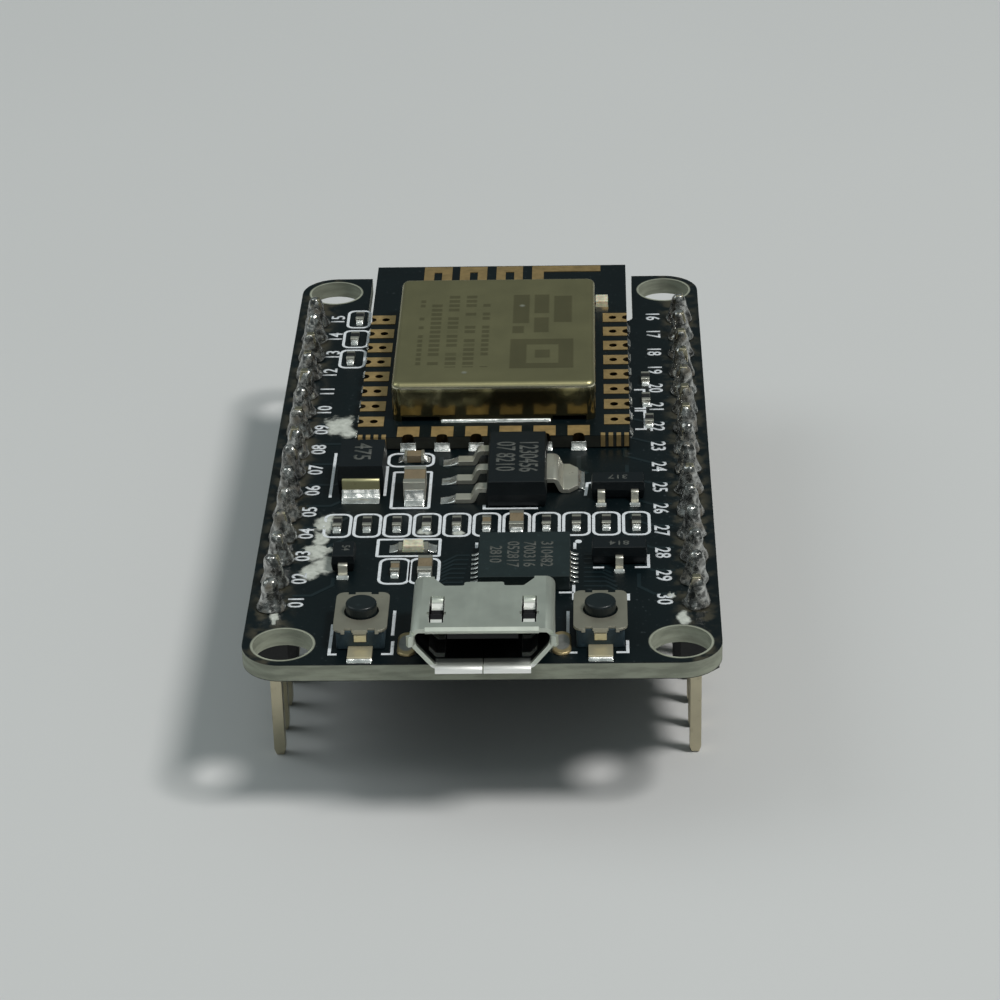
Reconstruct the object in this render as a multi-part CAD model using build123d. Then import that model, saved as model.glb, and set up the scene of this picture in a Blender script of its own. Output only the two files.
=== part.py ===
from build123d import *
import os
from math import sin

# A small radio microcontroller board on two rows of header pins.
#
# Everything is drawn in the board's own frame, in millimetres: X across the board, Y from the USB socket
# towards the antenna, Z up, with the origin in the middle of the board's top face.  save() moves each
# solid into the row's frame, whose origin is under the middle of the whole object, level with the pin tips.

# Main board
BOARD_WIDTH = 25.4
BOARD_LENGTH = 48.26
BOARD_THICK = 1.0
BOARD_CORNER = 2.2
HOLE_SPACING_X = 21.06
HOLE_SPACING_Y = 44.0
HOLE_RADIUS = 1.6
NOTCH_LEFT, NOTCH_RIGHT = -8.3, 8.5
NOTCH_START = 17.3
NOTCH_CORNER = 0.6

# Header rows
PIN_COUNT = 15
PITCH = 2.54
ROW_X = 4.5 * PITCH
FIRST_PIN_Y = -18.08
PIN_SIDE = 0.64
PIN_ABOVE = 1.75
PIN_BELOW_STRIP = 5.8
STRIP_WIDTH = 2.5
STRIP_HEIGHT = 2.5
PIN_HOLE_RADIUS = 0.52
SOLDER_BASE = 0.82
SOLDER_RISE = 1.4
SOLDER_COLLAR = 0.5

# Radio module
MODULE_X = 0.115
MODULE_WIDTH = 16.0
MODULE_LENGTH = 24.0
MODULE_FRONT = 0.05
MODULE_LIFT = 0.05
MODULE_THICK = 0.8
MODULE_TOP = MODULE_LIFT + MODULE_THICK
MODULE_PITCH = 2.0
SIDE_PADS = 8
FRONT_PADS = 6
PAD_FIRST_Y = 2.03
PAD_REACH = 1.5
PAD_WIDTH = 1.25
PAD_THICK = 0.04
PAD_VIA = 0.28
PAD_VIA_INSET = 0.9
EDGE_VIA = 0.35

# Shield can
CAN_X, CAN_Y = 0.12, 9.45
CAN_WIDTH, CAN_LENGTH, CAN_HEIGHT = 12.0, 14.8, 2.45
CAN_WALL = 0.2
CAN_CORNER = 0.5
CAN_EDGE = 0.32
FLASH_X, FLASH_Y, FLASH_SIDE = 1.5, 11.8, 5.2

# Micro USB socket
USB_X = 0.15
USB_FRONT = -25.1
USB_BODY_FRONT = -24.75
USB_REAR = -19.3
USB_STEP_Y = -20.28
USB_TOP = 2.5
USB_BOTTOM = 0.08
USB_KNEE = 1.5
USB_HALF_TOP = 3.75
USB_HALF_BOTTOM = 2.6
USB_WALL = 0.25
USB_LEG_Y = -22.2
USB_CONTACTS = 5
USB_CONTACT_PITCH = 0.65

# Push switches
SWITCHES = {"reset": (-6.37, -20.72), "flash": (6.28, -20.72)}
SWITCH_WIDTH, SWITCH_LENGTH = 2.85, 4.0
SWITCH_BASE_TOP = 1.1
SWITCH_COVER = 0.15
SWITCH_FLOOR = 0.35
SWITCH_WELL = 1.08
BUTTON_RADIUS = 0.83
BUTTON_GAP = 0.095
BUTTON_TOP = 1.83
DOME_RADIUS, DOME_RISE, DOME_THICK = 0.98, 0.33, 0.07

# Surface-mounted chips: length, width, height and end-cap length of each case size
CASES = {
    "0402": (1.0, 0.5, 0.38, 0.24),
    "0504": (1.15, 0.75, 0.5, 0.16),
    "0603": (1.6, 0.8, 0.52, 0.32),
    "0805": (2.0, 1.25, 1.25, 0.42),
}
ROW_CHIPS = 11
ROW_FIRST_X, ROW_PITCH, ROW_Y = -8.45, 1.68, -9.15
ROW_BROWN, ROW_OLIVE = 5, 6
# Each chip off the row: case, middle X, middle Y, and turn about Z (0 lies along X, 90 along Y)
CAPACITORS = [
    ("0805", -4.23, -5.3, 90),
    ("0504", -4.46, -1.25, 0),
    ("0402", -4.95, -14.3, 90),
    ("0603", -3.3, -14.2, 90),
]
RESISTORS = [
    ("0402", -8.75, 17.9, 90),
    ("0402", -8.9, 15.0, 90),
    ("0402", -9.0, 12.2, 90),
    ("0402", 9.15, 8.9, 90),
    ("0402", 9.15, 6.1, 90),
    ("0402", 9.3, 3.3, 90),
]
LED_X, LED_Y = -4.06, -11.82
QFN_X, QFN_Y, QFN_SIDE, QFN_HEIGHT = 2.15, -14.08, 5.0, 0.9
QFN_PADS, QFN_PITCH = 7, 0.5
REGULATOR_X, REGULATOR_Y = 1.6, -3.95
REGULATOR_WIDTH, REGULATOR_LENGTH, REGULATOR_HEIGHT = 3.45, 6.45, 1.6
TANTALUM_X, TANTALUM_Y = -7.3, -3.98
TANTALUM_WIDTH, TANTALUM_LENGTH, TANTALUM_HEIGHT = 2.65, 3.43, 1.95
# Each transistor: middle X, middle Y, and the turn that puts its single lead at the rear or the front
TRANSISTORS = [(7.35, -5.6, 0), (7.35, -13.2, 180)]
DIODE_X, DIODE_Y = -7.8, -13.5

STAND_HEIGHT = PIN_BELOW_STRIP + STRIP_HEIGHT + BOARD_THICK
MIDDLE_Y = (USB_FRONT + BOARD_LENGTH / 2) / 2
ROW_FRAME = Location((0, -MIDDLE_Y, STAND_HEIGHT))
PIN_YS = [FIRST_PIN_Y + PITCH * i for i in range(PIN_COUNT)]
SIDE_PAD_YS = [PAD_FIRST_Y + MODULE_PITCH * i for i in range(SIDE_PADS)]
FRONT_PAD_XS = [MODULE_X + MODULE_PITCH * (i - (FRONT_PADS - 1) / 2) for i in range(FRONT_PADS)]
MODULE_LEFT = MODULE_X - MODULE_WIDTH / 2
MODULE_RIGHT = MODULE_X + MODULE_WIDTH / 2
SIDES = (("left", -1), ("right", 1))


# ---------------------------------------------------------------- shapes that repeat

def save(name, *shapes):
    """Write one node: every solid of the shapes, moved into the row's frame."""
    solids = [solid.moved(ROW_FRAME) for shape in shapes for solid in shape.solids()]
    node = Compound(children=solids)
    node.label = name
    export_step(node, f"parts/{name}.step")


def block(x0, x1, y0, y1, z0, z1):
    """A box between the given limits."""
    return Pos((x0 + x1) / 2, (y0 + y1) / 2, (z0 + z1) / 2) * Box(x1 - x0, y1 - y0, z1 - z0)


def plate(x, y, width, length, z, height, radius):
    """An upright plate with rounded corners that stands on z."""
    return extrude(Pos(x, y, z) * RectangleRounded(width, length, radius), height)


def post(x, y, radius, z0, z1):
    """An upright cylinder between two heights."""
    return Pos(x, y, (z0 + z1) / 2) * Cylinder(radius, z1 - z0)


def bent_strip(points, thick, width, bend):
    """Sheet metal along points (outwards, up), centred across its width; outwards is +X."""
    return extrude(Plane.XZ * trace(FilletPolyline(*points, radius=bend), thick), width / 2, both=True)


def wedge(width, reach, rise):
    """A hollow-faced solder fillet against a wall at X = 0; it spreads towards +X."""
    outline = Polygon((0, 0), (reach, 0), (reach * 0.42, rise * 0.28), (reach * 0.14, rise * 0.66), (0, rise),
                      align=None)
    return extrude(Plane.XZ * outline, width / 2, both=True)


def moulded(x, y, width, length, z0, height, inset):
    """A moulded package that is widest at its parting line, half-way up, and drawn in above and below."""
    levels = ((z0, inset), (z0 + height / 2, 0), (z0 + height, inset))
    sections = [Pos(x, y, z) * Rectangle(width - 2 * draw, length - 2 * draw) for z, draw in levels]
    return loft(sections, ruled=True)


def chip(case, x, y, turn):
    """A rectangular chip: its body, its two end caps, and the two solder fillets at its ends."""
    length, width, height, cap = CASES[case]
    place = Pos(x, y, 0) * Rot(0, 0, turn)
    inner = length / 2 - cap
    body = place * block(-inner, inner, -width / 2 + 0.02, width / 2 - 0.02, 0.02, height - 0.02)
    ends = []
    fillets = []
    for way in (0, 180):
        end = block(inner, length / 2, -width / 2, width / 2, 0, height)
        end = fillet(end.edges().filter_by(Axis.Y).sort_by(Axis.X)[-2:], 0.05)
        ends.append(place * Rot(0, 0, way) * end)
        fillet_shape = wedge(width * 0.94, 0.22 + height * 0.35, height * 0.72)
        fillets.append(place * Rot(0, 0, way) * Pos(length / 2, 0, 0) * fillet_shape)
    return body, ends, fillets


# ---------------------------------------------------------------- main board and headers

def pin(x, y):
    """A square header pin with tapered tips."""
    square = Rectangle(PIN_SIDE, PIN_SIDE)
    low, high, tip = -STAND_HEIGHT, PIN_ABOVE, 0.4
    shaft = extrude(Pos(x, y, low + tip) * square, high - low - 2 * tip)
    upper = extrude(Pos(x, y, high - tip) * square, tip, taper=15)
    lower = extrude(Pos(x, y, low + tip) * square, tip, dir=(0, 0, -1), taper=15)
    return shaft + upper + lower


def solder_cone(x, y, number):
    """The solder round one pin; hand soldering makes each a little different."""
    base = SOLDER_BASE * (1 + 0.06 * sin(number * 2.3))
    rise = SOLDER_RISE * (1 + 0.12 * sin(number * 1.7 + 1))
    outline = Curve() + [
        Line((0, 0), (base, 0)),
        ThreePointArc((base, 0), (SOLDER_COLLAR + 0.12, rise * 0.42), (SOLDER_COLLAR, rise)),
        Line((SOLDER_COLLAR, rise), (0, rise)),
        Line((0, rise), (0, 0)),
    ]
    cone = revolve(Plane.XZ * make_face(outline), Axis.Z)
    return Pos(x, y, 0) * cone - block(
        x - PIN_SIDE / 2, x + PIN_SIDE / 2, y - PIN_SIDE / 2, y + PIN_SIDE / 2, -1, PIN_ABOVE + 1)


def main_board():
    """The black board with its mounting holes, pin holes, leg slots and antenna notch."""
    body = plate(0, 0, BOARD_WIDTH, BOARD_LENGTH, -BOARD_THICK, BOARD_THICK, BOARD_CORNER)
    notch_end = BOARD_LENGTH / 2 + 2
    body -= plate((NOTCH_LEFT + NOTCH_RIGHT) / 2, (NOTCH_START + notch_end) / 2, NOTCH_RIGHT - NOTCH_LEFT,
                  notch_end - NOTCH_START, -BOARD_THICK - 1, BOARD_THICK + 2, NOTCH_CORNER)
    drills = []
    for side in (-1, 1):
        for end in (-1, 1):
            drills.append(post(side * HOLE_SPACING_X / 2, end * HOLE_SPACING_Y / 2, HOLE_RADIUS, -2, 1))
        for y in PIN_YS:
            drills.append(post(side * ROW_X, y, PIN_HOLE_RADIUS, -2, 1))
        slot = Pos(USB_X + side * 3.72, USB_LEG_Y, -2) * Rot(0, 0, 90) * SlotOverall(1.9, 0.6)
        drills.append(extrude(slot, 3))
    return body - drills


def header_strip(x):
    """The black strip of a header row, notched between the pins."""
    half_width, half_pitch, bevel = STRIP_WIDTH / 2, PITCH / 2, 0.4
    cell = Polygon(
        (-half_width + bevel, -half_pitch), (half_width - bevel, -half_pitch),
        (half_width, -half_pitch + bevel), (half_width, half_pitch - bevel),
        (half_width - bevel, half_pitch), (-half_width + bevel, half_pitch),
        (-half_width, half_pitch - bevel), (-half_width, -half_pitch + bevel), align=None)
    outline = Sketch() + [Pos(x, y) * cell for y in PIN_YS]
    outline -= [Pos(x, y) * Rectangle(PIN_SIDE, PIN_SIDE) for y in PIN_YS]
    return extrude(Pos(0, 0, -BOARD_THICK - STRIP_HEIGHT) * outline, STRIP_HEIGHT)


def headers():
    """Both header rows: strip, pins and solder."""
    for name, side in SIDES:
        x = side * ROW_X
        save(f"header_strip_{name}", header_strip(x))
        save(f"header_pins_{name}", *[pin(x, y) for y in PIN_YS])
        cones = [solder_cone(x, y, i + PIN_COUNT * side) for i, y in enumerate(PIN_YS)]
        save(f"header_solder_{name}", *cones)


# ---------------------------------------------------------------- radio module

def module_vias(radius_change):
    """The drills of the module's pads: a via in each side pad and a half hole at each edge pad."""
    drills = []
    for side, edge in ((-1, MODULE_LEFT), (1, MODULE_RIGHT)):
        for y in SIDE_PAD_YS:
            drills.append(post(edge, y, EDGE_VIA + radius_change, -1, 2))
            drills.append(post(edge - side * PAD_VIA_INSET, y, PAD_VIA + radius_change, -1, 2))
    for x in FRONT_PAD_XS:
        drills.append(post(x, MODULE_FRONT, EDGE_VIA + radius_change, -1, 2))
    return drills


def radio_module():
    """The module's own board, its pads, its antenna and the solder that holds it down."""
    rear = MODULE_FRONT + MODULE_LENGTH
    board = block(MODULE_LEFT, MODULE_RIGHT, MODULE_FRONT, rear, MODULE_LIFT, MODULE_TOP)
    board -= module_vias(0)
    save("module_board", board)

    low, high = MODULE_LIFT - PAD_THICK, MODULE_TOP + PAD_THICK
    blanks = []
    for y in SIDE_PAD_YS:
        y0, y1 = y - PAD_WIDTH / 2, y + PAD_WIDTH / 2
        blanks.append(block(MODULE_LEFT, MODULE_LEFT + PAD_REACH, y0, y1, low, high))
        blanks.append(block(MODULE_RIGHT - PAD_REACH, MODULE_RIGHT, y0, y1, low, high))
    for x in FRONT_PAD_XS:
        blanks.append(block(x - 0.65, x + 0.65, MODULE_FRONT, MODULE_FRONT + 1.25, low, high))
    bores = module_vias(-PAD_THICK)
    save("module_pads", *[blank - board - bores for blank in blanks])

    fillets = []
    for y in SIDE_PAD_YS:
        fillets.append(Pos(MODULE_LEFT, y, 0) * Rot(0, 0, 180) * wedge(0.9, 0.25, 0.45))
        fillets.append(Pos(MODULE_RIGHT, y, 0) * wedge(0.9, 0.25, 0.45))
    for x in FRONT_PAD_XS:
        fillets.append(Pos(x, MODULE_FRONT, 0) * Rot(0, 0, -90) * wedge(0.95, 0.32, 0.52))
    can_front = CAN_Y - CAN_LENGTH / 2
    fillets.append(Pos(CAN_X + 0.12, can_front, MODULE_TOP) * Rot(0, 0, -90) * wedge(6.5, 0.25, 0.2))
    save("module_solder", *fillets)
    save("module_antenna", antenna())


def antenna():
    """The printed antenna: a meander of seven legs that ends in a bar along the far edge."""
    legs = [(-4.85, -4.2), (-3.7, -3.05), (-2.55, -1.9), (-1.4, -0.8), (-0.2, 0.4), (0.95, 1.5), (2.1, 2.85)]
    near, far, bar = 18.6, 23.9, 0.85
    sheet = Sketch()
    for left, right in legs:
        sheet += Pos((left + right) / 2, (near + far) / 2) * Rectangle(right - left, far - near)
    for i in range(len(legs) - 1):
        joined_far = i % 2 == 0
        y = far - bar / 2 if joined_far else near + bar / 2
        left, right = legs[i][0], legs[i + 1][1]
        sheet += Pos((left + right) / 2, y) * Rectangle(right - left, bar)
    feed_left, feed_right = legs[0]
    feed_end = CAN_Y + CAN_LENGTH / 2 + 0.2
    sheet += Pos((feed_left + feed_right) / 2, (feed_end + near) / 2) * Rectangle(
        feed_right - feed_left, near - feed_end + 0.1)
    sheet += Pos((legs[-1][0] + 6.5) / 2, far - bar / 2) * Rectangle(6.5 - legs[-1][0], bar)
    return extrude(Pos(0, 0, MODULE_TOP) * sheet, PAD_THICK)


def shield_can():
    """The drawn metal can over the radio, open below, with two slots in its front wall."""
    outside = plate(CAN_X, CAN_Y, CAN_WIDTH, CAN_LENGTH, MODULE_TOP, CAN_HEIGHT, CAN_CORNER)
    outside = fillet(outside.faces().sort_by(Axis.Z)[-1].edges(), CAN_EDGE)
    inside = plate(CAN_X, CAN_Y, CAN_WIDTH - 2 * CAN_WALL, CAN_LENGTH - 2 * CAN_WALL, MODULE_TOP,
                   CAN_HEIGHT - CAN_WALL, CAN_CORNER - CAN_WALL)
    can = outside - inside
    front = CAN_Y - CAN_LENGTH / 2
    for x0, x1 in ((-5.45, -3.2), (3.45, 5.45)):
        can -= block(CAN_X + x0, CAN_X + x1, front - 1, front + 1, MODULE_TOP, MODULE_TOP + 0.3)
    save("module_shield", can)


def under_the_can():
    """What the shield covers: the radio chip, its memory, its crystal and small chips."""
    z = MODULE_TOP
    save("radio_chip", plate(-2.3, 6.6, 5.0, 5.0, z, 0.85, 0.1))
    memory = Pos(FLASH_X, FLASH_Y, z)
    body = memory * moulded(0, 0, FLASH_SIDE, FLASH_SIDE, 0.1, 1.75, 0.1)
    legs = []
    for row in range(4):
        for way in (0, 180):
            lead = bent_strip([(-0.3, 0.95), (0.45, 0.95), (0.7, 0.1), (1.2, 0.1)], 0.2, 0.4, 0.12)
            across = 1.27 * (row - 1.5)
            legs.append(memory * Rot(0, 0, way) * Pos(FLASH_SIDE / 2, across, 0) * lead)
    save("flash_chip", body - legs)
    save("flash_chip_leads", *legs)
    save("module_crystal", plate(-4.0, 12.6, 2.5, 3.2, z, 0.75, 0.2))
    small = []
    for i in range(5):
        small.append(block(1.3 + 0.9 * i, 1.8 + 0.9 * i, 4.2, 5.2, z, z + 0.4))
        small.append(block(1.3 + 0.9 * i, 1.8 + 0.9 * i, 6.0, 7.0, z, z + 0.4))
    for i in range(3):
        small.append(block(-4.6 + 1.1 * i, -4.1 + 1.1 * i, 14.8, 15.8, z, z + 0.4))
    save("module_passives", *small)


def module_led():
    """The small lamp on the module beside the shield, with its end caps."""
    x, y, z = 6.56, 17.7, MODULE_TOP
    save("module_led", block(x - 0.38, x + 0.38, y - 0.5, y + 0.5, z + 0.03, z + 0.6))
    save("module_led_ends", *[
        block(x - 0.4, x + 0.4, y + s * 0.65 - 0.15, y + s * 0.65 + 0.15, z, z + 0.35) for s in (-1, 1)])


# ---------------------------------------------------------------- USB socket

def usb_outline(inset):
    """The socket's cross-section, wide above and narrow below, drawn in by an inset."""
    corners = Polygon(
        (-USB_HALF_TOP, USB_TOP), (-USB_HALF_TOP, USB_KNEE), (-USB_HALF_BOTTOM, USB_BOTTOM),
        (USB_HALF_BOTTOM, USB_BOTTOM), (USB_HALF_TOP, USB_KNEE), (USB_HALF_TOP, USB_TOP), align=None)
    knees = corners.vertices().filter_by(lambda corner: abs(corner.Y - USB_KNEE) < 0.01)
    rounded = fillet(knees, 0.9)
    others = rounded.vertices().filter_by(
        lambda corner: corner.Y > USB_TOP - 0.01 or corner.Y < USB_BOTTOM + 0.01)
    rounded = fillet(others, 0.5)
    return offset(rounded, -inset) if inset else rounded


def usb_length(outline, y0, y1):
    """The part of the socket between two distances from the board's middle, for one outline."""
    return extrude(Plane((0, y1, 0), x_dir=(1, 0, 0), z_dir=(0, -1, 0)) * outline, y1 - y0)


def usb_lip(width):
    """One flared lip at the mouth, pointing towards -Y and opening towards +Z."""
    reach = USB_BODY_FRONT - USB_FRONT
    strip = bent_strip([(-0.3, 0), (reach * 0.35, 0), (reach - 0.08, 0.26)], USB_WALL, width, 0.2)
    return Rot(0, 0, -90) * strip


def usb_rear_step():
    """The gap between the two rear lobes of the shell's top, in plan, with the middle tab left standing."""
    half = [
        (1.05, USB_STEP_Y + 0.38), (1.05, USB_STEP_Y), (2.1, USB_STEP_Y), (2.65, USB_REAR - 0.2), (2.65, -18)]
    corners = [(-x, y) for x, y in reversed(half)] + half
    return fillet(Polygon(*corners, align=None).vertices(), 0.14)


def usb_shell():
    """The folded shell: tube, lips, latch fingers, rear lobes and two legs through the board."""
    tube = usb_length(usb_outline(0) - usb_outline(USB_WALL), USB_BODY_FRONT, USB_REAR)
    tube -= extrude(Pos(0, 0, USB_TOP - USB_WALL - 0.1) * usb_rear_step(), 1)
    middle = USB_WALL / 2
    additions = [
        Pos(0, USB_BODY_FRONT, USB_TOP - middle) * usb_lip(5.9),
        Pos(0, USB_BODY_FRONT, USB_BOTTOM + middle) * Rot(0, 180, 0) * usb_lip(5.0),
    ]
    for side in (-1, 1):
        side_lip = Rot(0, 90 * side, 0) * usb_lip(0.6)
        additions.append(Pos(side * (USB_HALF_TOP - middle), USB_BODY_FRONT, 1.9) * side_lip)
        x0, x1 = sorted((side * (USB_HALF_TOP - USB_WALL), side * USB_HALF_TOP))
        y0, y1 = USB_LEG_Y - 0.65, USB_LEG_Y + 0.65
        additions.append(block(x0, x1, y0, y1, -BOARD_THICK - 0.35, USB_KNEE + 0.4))
    shell = tube + additions
    floor_top = USB_BOTTOM + USB_WALL + 0.1
    shell -= block(-0.03, 0.03, USB_FRONT - 1, USB_REAR + 1, -0.5, floor_top)
    shell -= block(-2.0, 2.0, USB_STEP_Y, USB_REAR + 1, -0.5, floor_top)
    window_front, window_rear = -24.1, -21.4
    for x in (-2.42, 2.42):
        low, high = USB_TOP - USB_WALL - 0.1, USB_TOP + 0.1
        shell -= block(x - 0.38, x + 0.38, window_front, window_rear, low, high)
        shell -= block(x - 0.5, x + 0.5, -23.3, -23.0, low, high)
        path = [(-0.1, 0), (0.14, 0), (0.5, -0.38), (1.35, -0.38), (1.8, 0), (2.45, -0.22)]
        shell += Pos(x, window_rear, USB_TOP - 0.12) * Rot(0, 0, -90) * bent_strip(path, 0.18, 0.6, 0.12)
    return Pos(USB_X, 0, 0) * shell


def usb_contacts():
    """Five sprung strips under the tongue whose tails come out behind, flat on the board."""
    strips = []
    for i in range(USB_CONTACTS):
        x = USB_X + USB_CONTACT_PITCH * (i - (USB_CONTACTS - 1) / 2)
        path = [(-23.7, 1.39), (-19.95, 1.39), (-19.95, 0.1), (-18.75, 0.1)]
        strips.append(Pos(x, 0, 0) * Rot(0, 0, 90) * bent_strip(path, 0.12, 0.3, 0.15))
    return strips


def usb_insulator(contacts):
    """The black moulding: a block that fills the back of the shell, and the tongue."""
    rear = usb_length(usb_outline(USB_WALL), -21.0, USB_STEP_Y - 0.07)
    tongue = block(-1.85, 1.85, -24.0, -20.9, 1.45, 2.0)
    bare = Pos(USB_X, 0, 0) * (rear + tongue)
    for strip in contacts:
        bare -= strip
    return bare


def usb_socket():
    """The whole socket and the solder at its legs and tails."""
    shell = usb_shell()
    contacts = usb_contacts()
    save("usb_shell", shell)
    save("usb_contacts", *contacts)
    save("usb_insulator", usb_insulator(contacts))
    mounds = []
    for side in (-1, 1):
        oval = Pos(USB_X + side * 4.08, USB_LEG_Y, 0) * Rot(0, 0, 90) * SlotOverall(2.4, 1.05)
        mound = extrude(oval, 0.14, taper=28)
        mounds.append(mound - shell)
    save("usb_anchor_solder", *mounds)
    return [Pos(c.center().X, -18.75, 0) * Rot(0, 0, 90) * wedge(0.3, 0.25, 0.14) for c in contacts]


# ---------------------------------------------------------------- push switches

def switch_dome(x, y):
    """The snap dome: a thin dished disc of sprung steel on the floor of the switch."""
    floor, top = SWITCH_FLOOR, SWITCH_FLOOR + DOME_RISE
    middle, shoulder = DOME_RADIUS * 0.68, DOME_RADIUS * 0.32
    outer = [(DOME_RADIUS, floor), (middle, floor + DOME_RISE * 0.66), (shoulder, top), (0, top)]
    inner = [(0, top - DOME_THICK), (shoulder, top - DOME_THICK),
             (middle, floor + DOME_RISE * 0.66 - DOME_THICK), (DOME_RADIUS - 0.16, floor)]
    return Pos(x, y, 0) * revolve(Plane.XZ * Polygon(*outer, *inner, align=None), Axis.Z)


def switch_button(x, y):
    """The button: a stem through the cover, a flange that the cover keeps in, and a nub on the dome."""
    flange_low, flange_high = 0.88, SWITCH_BASE_TOP - 0.02
    stem = post(0, 0, BUTTON_RADIUS, flange_low, BUTTON_TOP)
    stem = fillet(stem.edges().sort_by(Axis.Z)[-1], 0.14)
    flange = post(0, 0, BUTTON_RADIUS + 0.19, flange_low, flange_high)
    nub = post(0, 0, 0.5, SWITCH_FLOOR + DOME_RISE + 0.01, flange_low)
    return Pos(x, y, 0) * (stem + flange + nub)


def switch_cover(x, y):
    """The metal cover: a plate with a round hole, hooked over the base at both ends."""
    top = SWITCH_BASE_TOP + SWITCH_COVER
    cover = plate(x, y, SWITCH_WIDTH, SWITCH_LENGTH, SWITCH_BASE_TOP, SWITCH_COVER, 0.45)
    for end in (-1, 1):
        face = y + end * SWITCH_LENGTH / 2
        for notch in (-0.62, 0.62):
            cover -= block(x + notch - 0.2, x + notch + 0.2, face - 0.22, face + 0.22, 0, 2)
        y0, y1 = sorted((face, face - end * 0.12))
        for offset_x, half, drop in ((-0.9, 0.1, 0.1), (0, 0.36, 0.12), (0.9, 0.1, 0.1)):
            x0, x1 = x + offset_x - half, x + offset_x + half
            cover += block(x0, x1, y0, y1, top - SWITCH_COVER - drop, top - 0.02)
    return cover - post(x, y, BUTTON_RADIUS + BUTTON_GAP, 0, 3)


def push_switch(name, x, y):
    """One push switch in five nodes; returns the solder fillets at its terminals."""
    base = plate(x, y, SWITCH_WIDTH - 0.3, SWITCH_LENGTH - 0.24, 0.02, SWITCH_BASE_TOP - 0.02, 0.12)
    base -= post(x, y, SWITCH_WELL, SWITCH_FLOOR, 3)
    terminals = []
    fillets = []
    for end in (-1, 1):
        edge = y + end * (SWITCH_LENGTH / 2 - 0.12)
        turn = 90 * end
        foot = block(-0.5, 1.15, -0.65, 0.65, 0, 0.2)
        terminals.append(Pos(x, edge, 0) * Rot(0, 0, turn) * foot)
        catch = block(-0.1, 0.05, -0.33, 0.33, 0.48, 0.9)
        terminals.append(Pos(x, edge, 0) * Rot(0, 0, turn) * catch)
        fillets.append(Pos(x, edge, 0) * Rot(0, 0, turn) * Pos(1.15, 0, 0) * wedge(1.35, 0.3, 0.19))
    save(f"{name}_switch_base", base - terminals)
    save(f"{name}_switch_cover", switch_cover(x, y) - terminals)
    save(f"{name}_switch_terminals", *terminals)
    save(f"{name}_switch_dome", switch_dome(x, y))
    save(f"{name}_button", switch_button(x, y))
    return fillets


# ---------------------------------------------------------------- other parts on the board

def chips():
    """Resistors and capacitors; returns their solder fillets."""
    resistors = list(RESISTORS)
    capacitors = list(CAPACITORS)
    for i in range(ROW_CHIPS):
        x = ROW_FIRST_X + ROW_PITCH * i
        if i == ROW_OLIVE:
            capacitors.append(("0603", x, ROW_Y, 90))
        elif i == ROW_BROWN:
            capacitors.append(("0402", x, ROW_Y, 90))
        else:
            resistors.append(("0402", x, ROW_Y, 90))
    solder = []
    for name, kinds in (("chip_resistor", resistors), ("ceramic_capacitor", capacitors)):
        bodies, ends = [], []
        for kind in kinds:
            body, caps, fillets = chip(*kind)
            bodies.append(body)
            ends += caps
            solder += fillets
        save(f"{name}_bodies", *bodies)
        save(f"{name}_ends", *ends)
    return solder


def power_led():
    """The lamp on the main board: substrate, lens and end caps; returns its solder fillets."""
    place = Pos(LED_X, LED_Y, 0)
    save("power_led_base", place * block(-0.6, 0.6, -0.4, 0.4, 0.02, 0.2))
    lens = block(-0.56, 0.56, -0.39, 0.39, 0.2, 0.42)
    lens = fillet(lens.edges().sort_by(Axis.Z)[-4:], 0.06)
    save("power_led_lens", place * lens)
    ends, fillets = [], []
    for way in (0, 180):
        ends.append(place * Rot(0, 0, way) * block(0.6, 0.82, -0.4, 0.4, 0, 0.24))
        fillets.append(place * Rot(0, 0, way) * Pos(0.82, 0, 0) * wedge(0.9, 0.6, 0.2))
    save("power_led_ends", *ends)
    return fillets


def usb_serial_chip():
    """The square USB bridge chip with pads round its four sides; returns its solder fillets."""
    body = plate(QFN_X, QFN_Y, QFN_SIDE, QFN_SIDE, 0.02, QFN_HEIGHT - 0.02, 0.08)
    pads, fillets = [], []
    for turn in (0, 90, 180, 270):
        for i in range(QFN_PADS):
            across = QFN_PITCH * (i - (QFN_PADS - 1) / 2)
            place = Pos(QFN_X, QFN_Y, 0) * Rot(0, 0, turn) * Pos(QFN_SIDE / 2, across, 0)
            pads.append(place * block(-0.4, 0.02, -0.13, 0.13, 0, 0.2))
            fillets.append(place * Pos(0.02, 0, 0) * wedge(0.26, 0.5, 0.19))
    save("usb_serial_chip", body - pads)
    save("usb_serial_pads", *pads)
    return fillets


def regulator():
    """The power regulator: body, three leads on the left and a wide tab on the right."""
    body = moulded(REGULATOR_X, REGULATOR_Y, REGULATOR_WIDTH, REGULATOR_LENGTH, 0.03, REGULATOR_HEIGHT, 0.12)
    path = [(-0.3, 0.83), (0.5, 0.83), (0.8, 0.15), (1.75, 0.15)]
    left, right = REGULATOR_X - REGULATOR_WIDTH / 2, REGULATOR_X + REGULATOR_WIDTH / 2
    leads, fillets = [], []
    for step in (-1, 0, 1):
        place = Pos(left, REGULATOR_Y + 2.3 * step, 0) * Rot(0, 0, 180)
        leads.append(place * bent_strip(path, 0.28, 0.72, 0.16))
        fillets.append(place * Pos(1.75, 0, 0) * wedge(0.85, 1.0, 0.26))
    tab_place = Pos(right, REGULATOR_Y, 0)
    tab_width = 3.1
    tab = bent_strip(path, 0.28, tab_width, 0.24)
    for side in (-1, 1):
        tab -= Pos(1.75, side * tab_width / 2, 0) * Rot(0, 0, 45) * Box(0.7, 0.7, 3)
    tab = tab_place * tab
    fillets.append(tab_place * Pos(1.75, 0, 0) * wedge(2.1, 0.45, 0.27))
    save("regulator_body", body - leads - tab)
    save("regulator_leads", *leads)
    save("regulator_tab", tab)
    return fillets


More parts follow.
